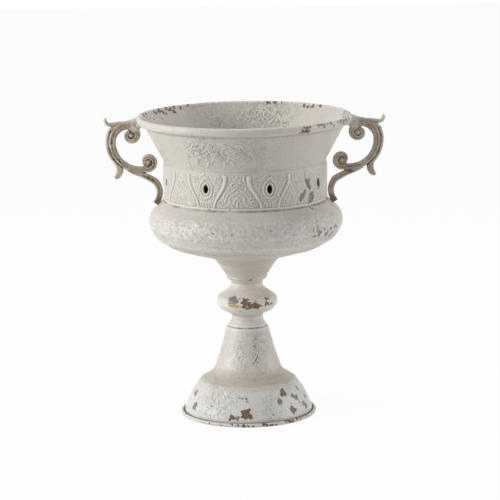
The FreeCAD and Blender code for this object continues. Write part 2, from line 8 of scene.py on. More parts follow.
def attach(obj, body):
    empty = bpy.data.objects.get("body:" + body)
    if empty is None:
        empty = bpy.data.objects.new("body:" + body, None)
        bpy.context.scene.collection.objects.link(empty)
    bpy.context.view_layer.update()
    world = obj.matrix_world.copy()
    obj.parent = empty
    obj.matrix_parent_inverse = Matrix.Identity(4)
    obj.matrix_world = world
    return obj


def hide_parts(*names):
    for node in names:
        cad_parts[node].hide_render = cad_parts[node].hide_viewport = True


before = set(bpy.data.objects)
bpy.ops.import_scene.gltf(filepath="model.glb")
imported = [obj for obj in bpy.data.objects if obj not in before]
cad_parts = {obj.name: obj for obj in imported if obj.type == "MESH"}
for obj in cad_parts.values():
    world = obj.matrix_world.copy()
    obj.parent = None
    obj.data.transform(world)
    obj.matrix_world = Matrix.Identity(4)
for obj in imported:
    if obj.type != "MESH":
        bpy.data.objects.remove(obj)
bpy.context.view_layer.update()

# Footed iron urn planter: spun and painted shells, a pressed and pierced band,
# and two cast scroll handles. Lengths in millimetres until a mesh is made.
MM = 0.001
WALL = 1.2
COLLAR_STEPS, BELLY_STEPS, STEM_STEPS, FOOT_STEPS = 800, 520, 260, 440


# Modelling by hand

def deselect_all():
    bpy.ops.object.select_all(action='DESELECT')


def pick(piece):
    """Makes a piece the only one selected, and active."""
    deselect_all()
    piece.select_set(True)
    bpy.context.view_layer.objects.active = piece


def named(name):
    """The object just added, under its own name."""
    piece = bpy.context.object
    piece.name = piece.data.name = name
    return piece


def finish_mesh():
    """In edit mode: closes seams and turns the faces outwards."""
    bpy.ops.mesh.select_all(action='SELECT')
    bpy.ops.mesh.remove_doubles(threshold=0.01 * MM)
    bpy.ops.mesh.normals_make_consistent(inside=False)
    bpy.ops.object.mode_set(mode='OBJECT')


def smooth_faces(piece, angle=40):
    pick(piece)
    bpy.ops.object.shade_smooth_by_angle(angle=math.radians(angle))


def coordinates(piece):
    spots = np.empty(len(piece.data.vertices) * 3)
    piece.data.vertices.foreach_get("co", spots)
    return spots.reshape(-1, 3)


def move_vertices(piece, spots):
    piece.data.vertices.foreach_set("co", spots.ravel())
    piece.data.update()


def normals_of(piece):
    normals = np.empty(len(piece.data.vertices) * 3)
    piece.data.vertices.foreach_get("normal", normals)
    return normals.reshape(-1, 3)


def store(piece, name, numbers):
    """Keeps a number on each vertex, for the finish to read."""
    piece.data.attributes.new(name, 'FLOAT', 'POINT').data.foreach_set("value", numbers)


def modify(piece, kind, **settings):
    """Adds a modifier to the active piece and applies it."""
    bpy.ops.object.modifier_add(type=kind)
    modifier = piece.modifiers[-1]
    for name, value in settings.items():
        setattr(modifier, name, value)
    bpy.ops.object.modifier_apply(modifier=modifier.name)


def weigh(piece, name, weights):
    """A vertex group holding one weight for each vertex."""
    group = piece.vertex_groups.new(name=name)
    for index in np.nonzero(weights > 0.005)[0]:
        group.add([int(index)], float(weights[index]), 'REPLACE')


def clouds(name, grain, depth=2):
    texture = bpy.data.textures.new(name, 'CLOUDS')
    texture.noise_scale = grain * MM
    texture.noise_depth = depth
    return texture


def displace(piece, texture, height, group=""):
    """Raises a surface by a texture, as high as the height in millimetres."""
    pick(piece)
    modify(piece, 'DISPLACE', texture=texture, texture_coords='LOCAL', strength=height * MM, mid_level=0.5,
           vertex_group=group)


def mark_hollows(piece, rounds):
    """Stores on each vertex how far it lies under (+) or over (-) the smoothed surface, as "hollow"."""
    mesh = piece.data
    spots = coordinates(piece)
    ends = np.empty(len(mesh.edges) * 2, dtype=np.int32)
    mesh.edges.foreach_get("vertices", ends)
    ends = ends.reshape(-1, 2)
    near = np.bincount(ends.ravel(), minlength=len(spots))[:, None]
    eased = spots.copy()
    for _ in range(rounds):
        total = np.zeros_like(eased)
        for axis in range(3):
            total[:, axis] += np.bincount(ends[:, 0], eased[ends[:, 1], axis], len(spots))
            total[:, axis] += np.bincount(ends[:, 1], eased[ends[:, 0], axis], len(spots))
        eased = (eased + total / near) / 2
    store(piece, "hollow", ((eased - spots) * normals_of(piece)).sum(axis=1) / MM)


# Section lines of the spun shells

def along(start, end):
    reach = math.hypot(end[0] - start[0], end[1] - start[1])
    return (end[0] - start[0]) / reach, (end[1] - start[1]) / reach, reach


def bent_line(corners, step):
    """Points along corners (radius, height, bend), rounded at each bend, about a step apart."""
    marks = [corners[0][:2]]
    for before, corner, after in zip(corners, corners[1:], corners[2:]):
        if corner[2] == 0:
            marks.append(corner[:2])
            continue
        back = along(corner, before)
        ahead = along(corner, after)
        half = math.acos(max(-1, min(1, back[0] * ahead[0] + back[1] * ahead[1]))) / 2
        cut = corner[2] / math.tan(half)
        middle_x, middle_z = back[0] + ahead[0], back[1] + ahead[1]
        size = math.hypot(middle_x, middle_z)
        centre = (corner[0] + middle_x / size * corner[2] / math.sin(half),
                  corner[1] + middle_z / size * corner[2] / math.sin(half))
        first = math.atan2(corner[1] + back[1] * cut - centre[1], corner[0] + back[0] * cut - centre[0])
        turn = math.pi - 2 * half
        if back[0] * ahead[1] - back[1] * ahead[0] > 0:
            turn = -turn
        marks += circle_points(centre, corner[2], first, turn, step)
    marks.append(corners[-1][:2])
    line = [marks[0]]
    for start, end in zip(marks, marks[1:]):
        pieces = max(1, round(along(start, end)[2] / step)) if start != end else 0
        for k in range(1, pieces + 1):
            line.append((start[0] + (end[0] - start[0]) * k / pieces,
                         start[1] + (end[1] - start[1]) * k / pieces))
    return line


def circle_points(centre, radius, first, turn, step):
    """Points of an arc that starts at an angle and turns by another, in radians."""
    count = max(3, math.ceil(abs(turn) * radius / step))
    return [(centre[0] + radius * math.cos(first + turn * k / count),
             centre[1] + radius * math.sin(first + turn * k / count)) for k in range(count + 1)]


def inner_corners(corners, side):
    """The same row of corners one wall thickness to its left (+1) or right (-1)."""
    row = []
    for k, (radius, height, bend) in enumerate(corners):
        ways = []
        if k > 0:
            ways.append(along(corners[k - 1], corners[k]))
        if k < len(corners) - 1:
            ways.append(along(corners[k], corners[k + 1]))
        out_x = sum(-way[1] for way in ways) * side
        out_z = sum(way[0] for way in ways) * side
        size = math.hypot(out_x, out_z)
        mitre = WALL / (size / len(ways))
        row.append((radius + out_x / size * mitre, height + out_z / size * mitre, bend))
    return row


def spun(name, line, steps):
    """A closed section line of (radius, height), spun about the stem."""
    deselect_all()
    bpy.ops.mesh.primitive_plane_add(size=MM)
    piece = named(name)
    bpy.ops.object.mode_set(mode='EDIT')
    bpy.ops.mesh.select_all(action='SELECT')
    bpy.ops.mesh.merge(type='CENTER')
    bpy.ops.transform.translate(value=(line[0][0] * MM, 0, line[0][1] * MM))
    for here, there in zip(line, line[1:] + line[:1]):
        step = ((there[0] - here[0]) * MM, 0, (there[1] - here[1]) * MM)
        bpy.ops.mesh.extrude_region_move(TRANSFORM_OT_translate={"value": step})
    bpy.ops.mesh.select_all(action='SELECT')
    bpy.ops.mesh.remove_doubles(threshold=0.01 * MM)
    bpy.ops.object.mode_set(mode='OBJECT')
    modify(piece, 'SCREW', steps=steps, render_steps=steps, use_merge_vertices=True)
    bpy.ops.object.mode_set(mode='EDIT')
    finish_mesh()
    return piece


def shell(name, corners, side, steps, fine, coarse):
    """A sheet shell from the corners of its outside, finely stepped outside and coarsely inside."""
    outside = bent_line(corners, fine)
    inside = bent_line(inner_corners(corners, side)[::-1], coarse)
    return spun(name, outside + inside, steps)


# Foot, with its rolled base edge and the slit behind it
FOOT = [(4.4, 118, 0), (27.6, 118, 2.5), (35, 88.5, 250), (46, 56.3, 20), (63.5, 46.2, 6),
        (75.5, 28.5, 60), (84.6, 8.4, 4), (85, 1.8, 0)]
FOOT_INSIDE = [(83.8, 1.2, 0), (83.4, 8, 4), (74.4, 28, 60), (62.8, 45, 6), (45, 55.2, 20),
               (33.8, 88.3, 250), (26.4, 116.8, 1), (4.4, 116.8, 0)]
BASE_CENTRE = (87.8, 2.5)
BASE_BEAD = 2.5


def foot_bell():
    bead = circle_points(BASE_CENTRE, BASE_BEAD, math.radians(195), math.radians(-345), 0.8)
    return spun("painted_foot", bent_line(FOOT, 1.25) + bead + bent_line(FOOT_INSIDE, 5), FOOT_STEPS)


# Knop, in two halves, and the funnel over it
KNOP_LOWER = [(38.85, 153, 0), (38.85, 150.6, 0), (40.2, 150.6, 0), (40.2, 148.2, 4), (34, 140.8, 2.5),
              (20.8, 134.4, 3.5), (20.8, 126.8, 6), (26.4, 118, 1.6), (4.4, 118, 0)]
KNOP_UPPER = [(40.2, 150.6, 0), (40.2, 157.5, 9), (21.3, 170.6, 8), (20.8, 178, 3), (24.4, 182, 1.2),
              (4.4, 182, 0)]
FUNNEL = [(4.4, 182, 0), (25.6, 182, 1), (27.4, 184.4, 1.2), (26.9, 186.6, 1), (36.5, 201.5, 60), (45, 211.9, 4),
          (50, 212.8, 0)]

# Belly
BELLY = [(105.85, 295, 0), (105.85, 289, 0), (107.3, 289, 0), (127.6, 271.5, 24), (127.6, 255.5, 12),
         (118.6, 239.5, 14), (100, 227.8, 30), (50, 213, 12), (4.4, 212, 0)]

# Collar, with its rolled rim
COLLAR = [(105.85, 333.5, 0), (105.85, 339.5, 0), (107, 339.5, 0), (107, 342, 5)]
RIM_CENTRE = (138, 394.9)
RIM_HALF_WIDE, RIM_HALF_TALL = 3.4, 5.1
RIM_VALLEY = (131.6, 387.6, 4)
COLLAR_INSIDE = [(105.8, 341.5, 4), (104.65, 339, 0), (104.65, 333.5, 0)]


def rim_collar():
    roll = circle_points(RIM_CENTRE, RIM_HALF_WIDE, math.radians(-75), math.radians(75 + 160), 0.9)
    bead = [(x, RIM_CENTRE[1] + (z - RIM_CENTRE[1]) * RIM_HALF_TALL / RIM_HALF_WIDE) for x, z in roll]
    outside = bent_line(COLLAR + [RIM_VALLEY, (bead[0][0], bead[0][1], 0)], 1.05)
    inside = bent_line([(bead[-1][0], bead[-1][1], 0)] + COLLAR_INSIDE, 2.0)
    return spun("painted_collar", outside + bead[1:] + inside[1:], COLLAR_STEPS)


# Pressed and pierced band
BAND_RADIUS = 107.0
BAND_LOW, BAND_TALL = 289.0, 50.5
BAND_WALL = 1.0
MOTIFS = 8
MOTIF_START = math.radians(16.9)
CELLS_ROUND, CELLS_UP = 800, 60
SECTOR = 2 * math.pi * BAND_RADIUS / MOTIFS
OVAL_UP = 27.9
EYE = (3.3, 5.4)


def eased_line(marks, per=8):
    """A smooth row of points through a few marks."""
    marks = np.array(marks, dtype=float)
    ends = np.vstack([2 * marks[0] - marks[1], marks, 2 * marks[-1] - marks[-2]])
    line = []
    for k in range(1, len(ends) - 2):
        a, b, c, d = ends[k - 1:k + 3]
        for t in np.arange(per) / per:
            line.append(0.5 * (2 * b + (c - a) * t + (2 * a - 5 * b + 4 * c - d) * t ** 2
                               + (3 * b - a - 3 * c + d) * t ** 3))
    return np.vstack([line, marks[-1]])


def spiral(centre, outer, inner, first, turn):
    """Points that wind inwards round a centre, angles in degrees."""
    share = np.linspace(0, 1, 26)
    angle = np.radians(first + turn * share)
    reach = outer + (inner - outer) * share
    return np.stack([centre[0] + reach * np.cos(angle), centre[1] + reach * np.sin(angle)], axis=1)


def stroke(u, w, line, width, height):
    """Relief of a rounded bar pressed along a line, tapering a little to its end."""
    relief = np.zeros_like(u)
    for k, ((ax, az), (bx, bz)) in enumerate(zip(line, line[1:])):
        run = (bx - ax) ** 2 + (bz - az) ** 2 + 1e-9
        share = np.clip(((u - ax) * (bx - ax) + (w - az) * (bz - az)) / run, 0, 1)
        gap = np.hypot(u - ax - share * (bx - ax), w - az - share * (bz - az))
        half = width / 2 * (1 - 0.35 * k / len(line))
        relief = np.maximum(relief, height * (1 - np.minimum(gap / half, 1) ** 2))
    return relief


def oval_ring(u, w, wide, tall, width, height, tip=0.0):
    """Relief of an oval ring about the eye, drawn out to a point at its top."""
    up = w - OVAL_UP
    angle = np.arctan2(up / tall, u / wide)
    reach = np.hypot(u / wide, up / tall) - tip * np.exp(-((angle - math.pi / 2) / 0.3) ** 2)
    gap = np.abs(reach - 1) * (wide + tall) / 2
    return height * (1 - np.minimum(gap / (width / 2), 1) ** 2)


# Strokes of half a motif: marks (across from its middle, up from the band's lower edge), width, height
SCROLLWORK = [
    (eased_line([(10.9, 22), (11.9, 17), (8.8, 12.6), (3.4, 11.2)]), 2.6, 0.75),
    (eased_line([(8.2, 17.5), (6.5, 14.2), (2.8, 13.6)]), 1.8, 0.5),
    (eased_line([(1.5, 16.5), (1.1, 13.5), (1.7, 10.8)]), 1.8, 0.7),
    (eased_line([(0, 10.5), (0, 7.5), (0, 4.6)]), 2.2, 0.8),
    (eased_line([(3.2, 10.4), (4.0, 7.6), (4.3, 4.6)]), 2.2, 0.8),
    (eased_line([(6.6, 10.6), (8.2, 8), (8.6, 4.8)]), 2.2, 0.75),
    (eased_line([(1.2, 40.5), (2.5, 43.6), (1.9, 47)]), 1.5, 0.75),
    (eased_line([(3.6, 46.6), (6.2, 45.6), (9.2, 42.6)]), 2.4, 0.65),
    (spiral((17.6, 40.3), 4.6, 2.8, 200, -420), 1.5, 0.75),
    (eased_line([(17, 40.3), (18.2, 40.6)]), 2.6, 0.85),
    (eased_line([(11.2, 36.2), (12.6, 34.2), (13.6, 37.6)]), 1.7, 0.6),
    (spiral((14.3, 29.6), 3.0, 1.0, -90, 400), 1.4, 0.65),
    (eased_line([(12.6, 24.2), (13.8, 26), (16.4, 27.4)]), 1.9, 0.6),
    (eased_line([(17.4, 30), (18.6, 33), (17.4, 35.4)]), 1.7, 0.6),
    (spiral((20.9, 10.4), 4.6, 1.2, 250, -480), 1.8, 0.8),
    (eased_line([(19.4, 6.2), (25, 5.4), (30.5, 8.6), (33.2, 13.6), (32.8, 18.4)]), 2.0, 0.8),
    (eased_line([(26.2, 12.8), (27.4, 17.4), (30.6, 21.4)]), 2.6, 0.7),
    (eased_line([(24.4, 16.4), (25.2, 21.6), (28.6, 25.8)]), 2.2, 0.6),
    (spiral((37.3, 33.2), 4.7, 1.3, -70, 470), 1.8, 0.8),
    (eased_line([(38.6, 28.7), (34.6, 24.8), (31.6, 27.4), (31, 32)]), 1.9, 0.75),
    (eased_line([(42, 26.4), (40, 22), (36.2, 20.4)]), 2.0, 0.75),
    (eased_line([(42, 17.8), (39, 14.2), (37.6, 9.6)]), 2.4, 0.75),
    (eased_line([(42, 13), (42, 8.8), (42, 4.8)]), 2.3, 0.75),
    (eased_line([(37, 5), (35, 7.2), (35.6, 10)]), 2.0, 0.65),
    (eased_line([(32.6, 45.6), (33.4, 41.4), (31.6, 37.2)]), 2.4, 0.7),
    (eased_line([(42, 46), (41, 42.6), (37.6, 40.2)]), 2.2, 0.7),
    (eased_line([(36.4, 46), (36.6, 43.4)]), 2.2, 0.6),
]


def rib_relief(u, w):
    """The smooth S-shaped ribs of the goblet round each eye."""
    share = np.clip((w - 3) / 38, 0, 1)
    middle = 11.3 + 15.7 * (0.5 - 0.5 * np.cos(math.pi * share))
    half = 2.0 + 1.0 * share
    gap = np.minimum(np.abs(u - middle) / half, 1)
    ends = np.clip((w - 3.4) / 1.2, 0, 1) * np.clip((46.6 - w) / 1.2, 0, 1)
    return 1.25 * (1 - gap ** 2.6) * ends


def band_relief(u, w):
    """Height of the pressed work over the plain band."""
    across = np.abs(u)
    relief = np.zeros_like(u)
    for line, width, height in SCROLLWORK:
        relief = np.maximum(relief, stroke(across, w, line, width, height))
    relief = np.maximum(relief, oval_ring(across, w, 8.9, 11.4, 2.6, 0.95, 0.26))
    relief = np.maximum(relief, oval_ring(across, w, 4.7, 7.0, 2.6, 1.0))
    relief = np.maximum(relief, rib_relief(across, w))
    bead = 1.05 * np.sqrt(np.clip(1 - ((w - 2.7) / 1.3) ** 2, 0, 1))
    return np.maximum(relief, bead)


def ornament_band():
    deselect_all()
    bpy.ops.mesh.primitive_grid_add(x_subdivisions=CELLS_ROUND, y_subdivisions=CELLS_UP, size=2)
    piece = named("pressed_band")
    spots = coordinates(piece)
    around = spots[:, 0] * math.pi
    up = (spots[:, 1] + 1) / 2 * BAND_TALL
    step = SECTOR / BAND_RADIUS
    u = ((around - MOTIF_START + step / 2) % step - step / 2) * BAND_RADIUS
    level = np.hypot(u / EYE[0], (up - OVAL_UP) / EYE[1])
    bpy.ops.object.mode_set(mode='EDIT')
    bpy.ops.mesh.select_all(action='DESELECT')
    bpy.ops.object.mode_set(mode='OBJECT')
    piece.data.vertices.foreach_set("select", level < 1)
    bpy.ops.object.mode_set(mode='EDIT')
    bpy.ops.mesh.delete(type='VERT')
    bpy.ops.object.mode_set(mode='OBJECT')
    keep = level >= 1
    around, up, u, level = around[keep], up[keep], u[keep], level[keep]
    rim = eye_rim(piece)
    around[rim] += u[rim] * (1 / level[rim] - 1) / BAND_RADIUS
    up[rim] = OVAL_UP + (up[rim] - OVAL_UP) / level[rim]
    u[rim] /= level[rim]
    reach = BAND_RADIUS + band_relief(u, up)
    spots = np.stack([reach * np.sin(around), -reach * np.cos(around), BAND_LOW + up], axis=1)
    move_vertices(piece, spots * MM)
    store(piece, "worn", np.clip((1.45 - level) / 0.4, 0, 1))
    pick(piece)
    bpy.ops.object.mode_set(mode='EDIT')
    finish_mesh()
    modify(piece, 'SOLIDIFY', thickness=BAND_WALL * MM, offset=-1)
    return piece


def eye_rim(piece):
    """Which vertices lie on the rims of the pierced eyes."""
    mesh = piece.data
    uses = np.zeros(len(mesh.edges), dtype=int)
    loops = np.empty(len(mesh.loops), dtype=np.int32)
    mesh.loops.foreach_get("edge_index", loops)
    np.add.at(uses, loops, 1)
    ends = np.empty(len(mesh.edges) * 2, dtype=np.int32)
    mesh.edges.foreach_get("vertices", ends)
    on_edge = np.zeros(len(mesh.vertices), dtype=bool)
    on_edge[ends.reshape(-1, 2)[uses == 1].ravel()] = True
    spots = coordinates(piece)
    return on_edge & (np.abs(spots[:, 0]) < 0.9999) & (np.abs(spots[:, 1]) < 0.9999)


# Cast scroll handles, drawn in the plane of the handle: x outwards, z up
HANDLE_DEPTH = 10.0
CAST_GRAIN = 0.55
UPPER_EYE, LOWER_EYE = (149.2, 375.0), (127.8, 338.6)
SCROLL_TOP, SCROLL_FAR, SCROLL_LOW = (152.0, 388.1), (174.0, 366.0), (138.6, 329.5)


def volute(eye, radius, first, turn):
    """Stations (x, z, thickness) from a volute's start inwards, angles in degrees."""
    stations = []
    for share in np.linspace(0, 1, 17):
        angle = math.radians(first + turn * share)
        reach = radius - (radius - 3.6) * share ** 2
        stations.append((eye[0] + reach * math.cos(angle), eye[1] + reach * math.sin(angle),
                         8.0 - 2.6 * share))
    return stations


def quarter(start, end, thick_start, thick_end, upright_first, count=8):
    """Stations of a quarter ellipse between two points, both ends left out."""
    stations = []
    for share in np.arange(1, count) / count:
        fast, slow = math.sin(math.pi / 2 * share), 1 - math.cos(math.pi / 2 * share)
        along_x, along_z = (slow, fast) if upright_first else (fast, slow)
        stations.append((start[0] + (end[0] - start[0]) * along_x, start[1] + (end[1] - start[1]) * along_z,
                         thick_start + (thick_end - thick_start) * share))
    return stations


def strand(name, stations, depth, flute=0.0, sides=28):
    """A tapering bar, oval in section and fluted front and back, along stations (x, z, thickness)."""
    stations = np.array(stations, dtype=float)
    ways = np.gradient(stations[:, :2], axis=0)
    ways /= np.linalg.norm(ways, axis=1)[:, None]
    angle = 2 * math.pi * np.arange(sides) / sides
    proud = depth / 2 * np.cos(angle) * (1 - flute * np.exp(-(np.sin(angle) / 0.38) ** 2))
    rings = []
    for (x, z, thick), way in zip(stations, ways):
        across = thick / 2 * np.sin(angle)
        rings.append(np.stack([x + way[1] * across, proud, z - way[0] * across], axis=1))
    faces = [(k * sides + j, k * sides + (j + 1) % sides, (k + 1) * sides + (j + 1) % sides, (k + 1) * sides + j)
             for k in range(len(rings) - 1) for j in range(sides)]
    faces += [tuple(range(sides)), tuple(range((len(rings) - 1) * sides, len(rings) * sides))]
    mesh = bpy.data.meshes.new(name)
    mesh.from_pydata((np.vstack(rings) * MM).tolist(), [], faces)
    piece = bpy.data.objects.new(name, mesh)
    bpy.context.scene.collection.objects.link(piece)
    return piece


def handle_strands():
    scroll = volute(UPPER_EYE, 9.2, 127, 300)[::-1]
    scroll.append((*SCROLL_TOP, 12))
    scroll += quarter(SCROLL_TOP, SCROLL_FAR, 12, 10, False)
    scroll.append((*SCROLL_FAR, 10))
    scroll += quarter(SCROLL_FAR, SCROLL_LOW, 10, 7.4, True)
    scroll.append((*SCROLL_LOW, 7.4))
    scroll += volute(LOWER_EYE, 9.8, -76, -310)
    tail = eased_line([(159.6, 333.5, 4.2), (148.1, 325.9, 5.3), (135.6, 322.1, 7.5), (125.6, 317.3, 8.6),
                       (117.4, 312, 9), (112.8, 301.5, 8.4), (114, 290.8, 8), (118.3, 283.5, 8)])
    leaf = [(165.2, 388.4, 4.6)] + quarter((154.9, 394.5), (180.4, 366), 4.6, 4.6, False)[4:]
    leaf += [(180.4, 366, 4.6)] + quarter((180.4, 366), (138.6, 323.1), 4.6, 4.6, True)[:4]
    bud = eased_line([leaf[-1], (164.6, 329.2, 9.2), (165.8, 323.7, 8.5), (169, 319.8, 7), (171.8, 318.5, 3.6)])
    horn = eased_line([(160, 391.5, 3.6), (169, 390, 5), (176.6, 388.8, 5.4), (180.8, 390.8, 5),
                       (182.4, 395, 4.2), (182.3, 397.8, 2.6)])
    hook = eased_line([(137.5, 395.6, 8), (145.5, 391.6, 10), SCROLL_TOP + (12,)])
    lug = eased_line([(134.5, 391.5, 8), (141, 385, 9), (146, 379, 8)])
    return [strand("scroll", eased_line(scroll, 2), HANDLE_DEPTH, 0.34), strand("tail", tail, 8.4, 0.34),
            strand("leaf", eased_line(leaf, 3), 7), strand("bud", bud, 8, 0.22), strand("horn", horn, 7),
            strand("hook", hook, 7), strand("lug", lug, 7)]


def eye_button(eye, radius, depth):
    deselect_all()
    bpy.ops.mesh.primitive_uv_sphere_add(segments=32, ring_count=16, radius=radius * MM,
                                         location=(eye[0] * MM, 0, eye[1] * MM), scale=(1, depth / 2 / radius, 1))
    return bpy.context.object


def handle_right():
    parts = handle_strands()
    for eye in (UPPER_EYE, LOWER_EYE):
        parts += [eye_button(eye, 3.8, 8.4), eye_button(eye, 7.4, 5.6)]
    deselect_all()
    for part in parts:
        part.select_set(True)
    bpy.context.view_layer.objects.active = parts[0]
    bpy.ops.object.join()
    piece = named("scroll_handle_right")
    bpy.ops.object.mode_set(mode='EDIT')
    bpy.ops.mesh.select_all(action='SELECT')
    bpy.ops.mesh.normals_make_consistent(inside=False)
    bpy.ops.object.mode_set(mode='OBJECT')
    modify(piece, 'REMESH', mode='VOXEL', voxel_size=CAST_GRAIN * MM)
    modify(piece, 'SMOOTH', factor=0.5, iterations=4)
    return piece


def mirrored(piece, name):
    """A copy of a piece on the other side of the stem."""
    pick(piece)
    bpy.ops.object.duplicate()
    copy = named(name)
    bpy.ops.object.mode_set(mode='EDIT')
    bpy.ops.mesh.select_all(action='SELECT')
    bpy.ops.transform.resize(value=(-1, 1, 1), center_override=(0, 0, 0))
    bpy.ops.mesh.normals_make_consistent(inside=False)
    bpy.ops.object.mode_set(mode='OBJECT')
    return copy


# Finishes

def srgb(red, green, blue):
    """A colour written as it shows on screen, 0 to 255."""
    return tuple(((v / 255 + 0.055) / 1.055) ** 2.4 if v > 10 else v / 255 / 12.92
                 for v in (red, green, blue)) + (1,)


class Finish:
    """A node material that is built up in short steps."""

    def __init__(self, name):
        self.material = bpy.data.materials.new(name)
        self.material.use_nodes = True
        self.tree = self.material.node_tree
        self.shader = self.tree.nodes["Principled BSDF"]
        self.place = self.tree.nodes.new("ShaderNodeTexCoord").outputs["Object"]
        split = self.tree.nodes.new("ShaderNodeSeparateXYZ")
        self.tree.links.new(self.place, split.inputs[0])
        self.height = split.outputs["Z"]

    def put(self, value, socket):
        if isinstance(value, bpy.types.NodeSocket):
            self.tree.links.new(value, socket)
        else:
            socket.default_value = value

    def noise(self, scale, detail=4.0, rough=0.55, place=None):
        node = self.tree.nodes.new("ShaderNodeTexNoise")
        self.put(place or self.place, node.inputs["Vector"])
        node.inputs["Scale"].default_value = scale
        node.inputs["Detail"].default_value = detail
        node.inputs["Roughness"].default_value = rough
        return node.outputs["Fac"]

    def cracks(self, scale, place):
        """Distance from the cracks of a crazed coat."""
        node = self.tree.nodes.new("ShaderNodeTexVoronoi")
        node.feature = 'DISTANCE_TO_EDGE'
        self.put(place, node.inputs["Vector"])
        node.inputs["Scale"].default_value = scale
        return node.outputs["Distance"]

    def sum(self, kind, first, second):
        node = self.tree.nodes.new("ShaderNodeMath")
        node.operation = kind
        self.put(first, node.inputs[0])
        self.put(second, node.inputs[1])
        return node.outputs[0]

    def times(self, first, second):
        return self.sum('MULTIPLY', first, second)

    def plus(self, first, second):
        return self.sum('ADD', first, second)

    def most(self, first, second):
        return self.sum('MAXIMUM', first, second)

    def vector(self, kind, first, second):
        """A step of vector arithmetic; a distance or length comes out as a number."""
        node = self.tree.nodes.new("ShaderNodeVectorMath")
        node.operation = kind
        self.put(first, node.inputs[0])
        self.put(second, node.inputs[1])
        return node.outputs["Value" if kind in ('DISTANCE', 'LENGTH') else "Vector"]

    def gap(self, place, angle, radius, height):
        """Distance from a spot on the body (angle from the front, radius, height)."""
        turn = math.radians(angle)
        spot = (radius * MM * math.sin(turn), -radius * MM * math.cos(turn), height * MM)
        return self.vector('DISTANCE', place, spot)

    def between(self, value, low, high, first=0.0, last=1.0):
        """The value's place between low and high, as a number from first to last."""
        node = self.tree.nodes.new("ShaderNodeMapRange")
        node.interpolation_type = 'SMOOTHSTEP'
        self.put(value, node.inputs["Value"])
        for socket, number in zip(("From Min", "From Max", "To Min", "To Max"), (low, high, first, last)):
            node.inputs[socket].default_value = number
        return node.outputs["Result"]

    def blend(self, share, first, second):
        node = self.tree.nodes.new("ShaderNodeMix")
        node.data_type = 'RGBA'
        self.put(share, node.inputs["Factor"])
        self.put(first, node.inputs[6])
        self.put(second, node.inputs[7])
        return node.outputs[2]

    def shaken(self, scale, reach):
        """Object coordinates shaken by a fine noise, for ragged edges."""
        centred = self.vector('SUBTRACT', self.noise(scale, 3).node.outputs["Color"], (0.5, 0.5, 0.5))
        return self.vector('ADD', self.place, self.vector('MULTIPLY', centred, (reach, reach, reach)))

    def flakes(self, scale, place):
        """The middle of the paint flake that each point lies in."""
        node = self.tree.nodes.new("ShaderNodeTexVoronoi")
        self.put(place, node.inputs["Vector"])
        node.inputs["Scale"].default_value = scale
        return node.outputs["Position"]

    def chips(self, spots, coarse, fine):
        """1 where a flake is gone from one of the spots (angle from the front, radius, height, size)."""
        most = -1.0
        for angle, radius, height, size in spots:
            gap = self.gap(coarse if size > 3 else fine, angle, radius, height)
            most = self.most(self.sum('SUBTRACT', size * MM, gap), most)
        return self.between(most, -0.01 * MM, 0.01 * MM)

    def radius(self):
        """Distance from the stem."""
        return self.vector('LENGTH', self.vector('MULTIPLY', self.place, (1, 1, 0)), (0, 0, 0))

    def zone(self, low, high, fade=3.0):
        """1 between two heights in millimetres."""
        return self.times(self.between(self.height, (low - fade) * MM, (low + fade) * MM),
                        self.between(self.height, (high + fade) * MM, (high - fade) * MM))

    def near(self, angle, radius, height, reach):
        """1 about a place on the body, fading out at the reach, in millimetres."""
        return self.between(self.gap(self.place, angle, radius, height), reach * MM, 0.2 * reach * MM)

    def marked(self, name):
        """A number stored on the piece's vertices."""
        node = self.tree.nodes.new("ShaderNodeAttribute")
        node.attribute_name = name
        return node.outputs["Fac"]

    def drawn_lines(self, scale):
        """A noise drawn out round the stem, as the lines that spinning leaves."""
        return self.noise(scale, 3, 0.6, self.vector('MULTIPLY', self.place, (0.04, 0.04, 1)))

    def bump(self, height):
        """Relief from a height in millimetres."""
        node = self.tree.nodes.new("ShaderNodeBump")
        node.inputs["Strength"].default_value = 1
        node.inputs["Distance"].default_value = MM
        self.put(height, node.inputs["Height"])
        return node.outputs["Normal"]

    def done(self, colour, rough, normal):
        self.put(colour, self.shader.inputs["Base Color"])
        self.put(rough, self.shader.inputs["Roughness"])
        self.put(normal, self.shader.inputs["Normal"])
        return self.material


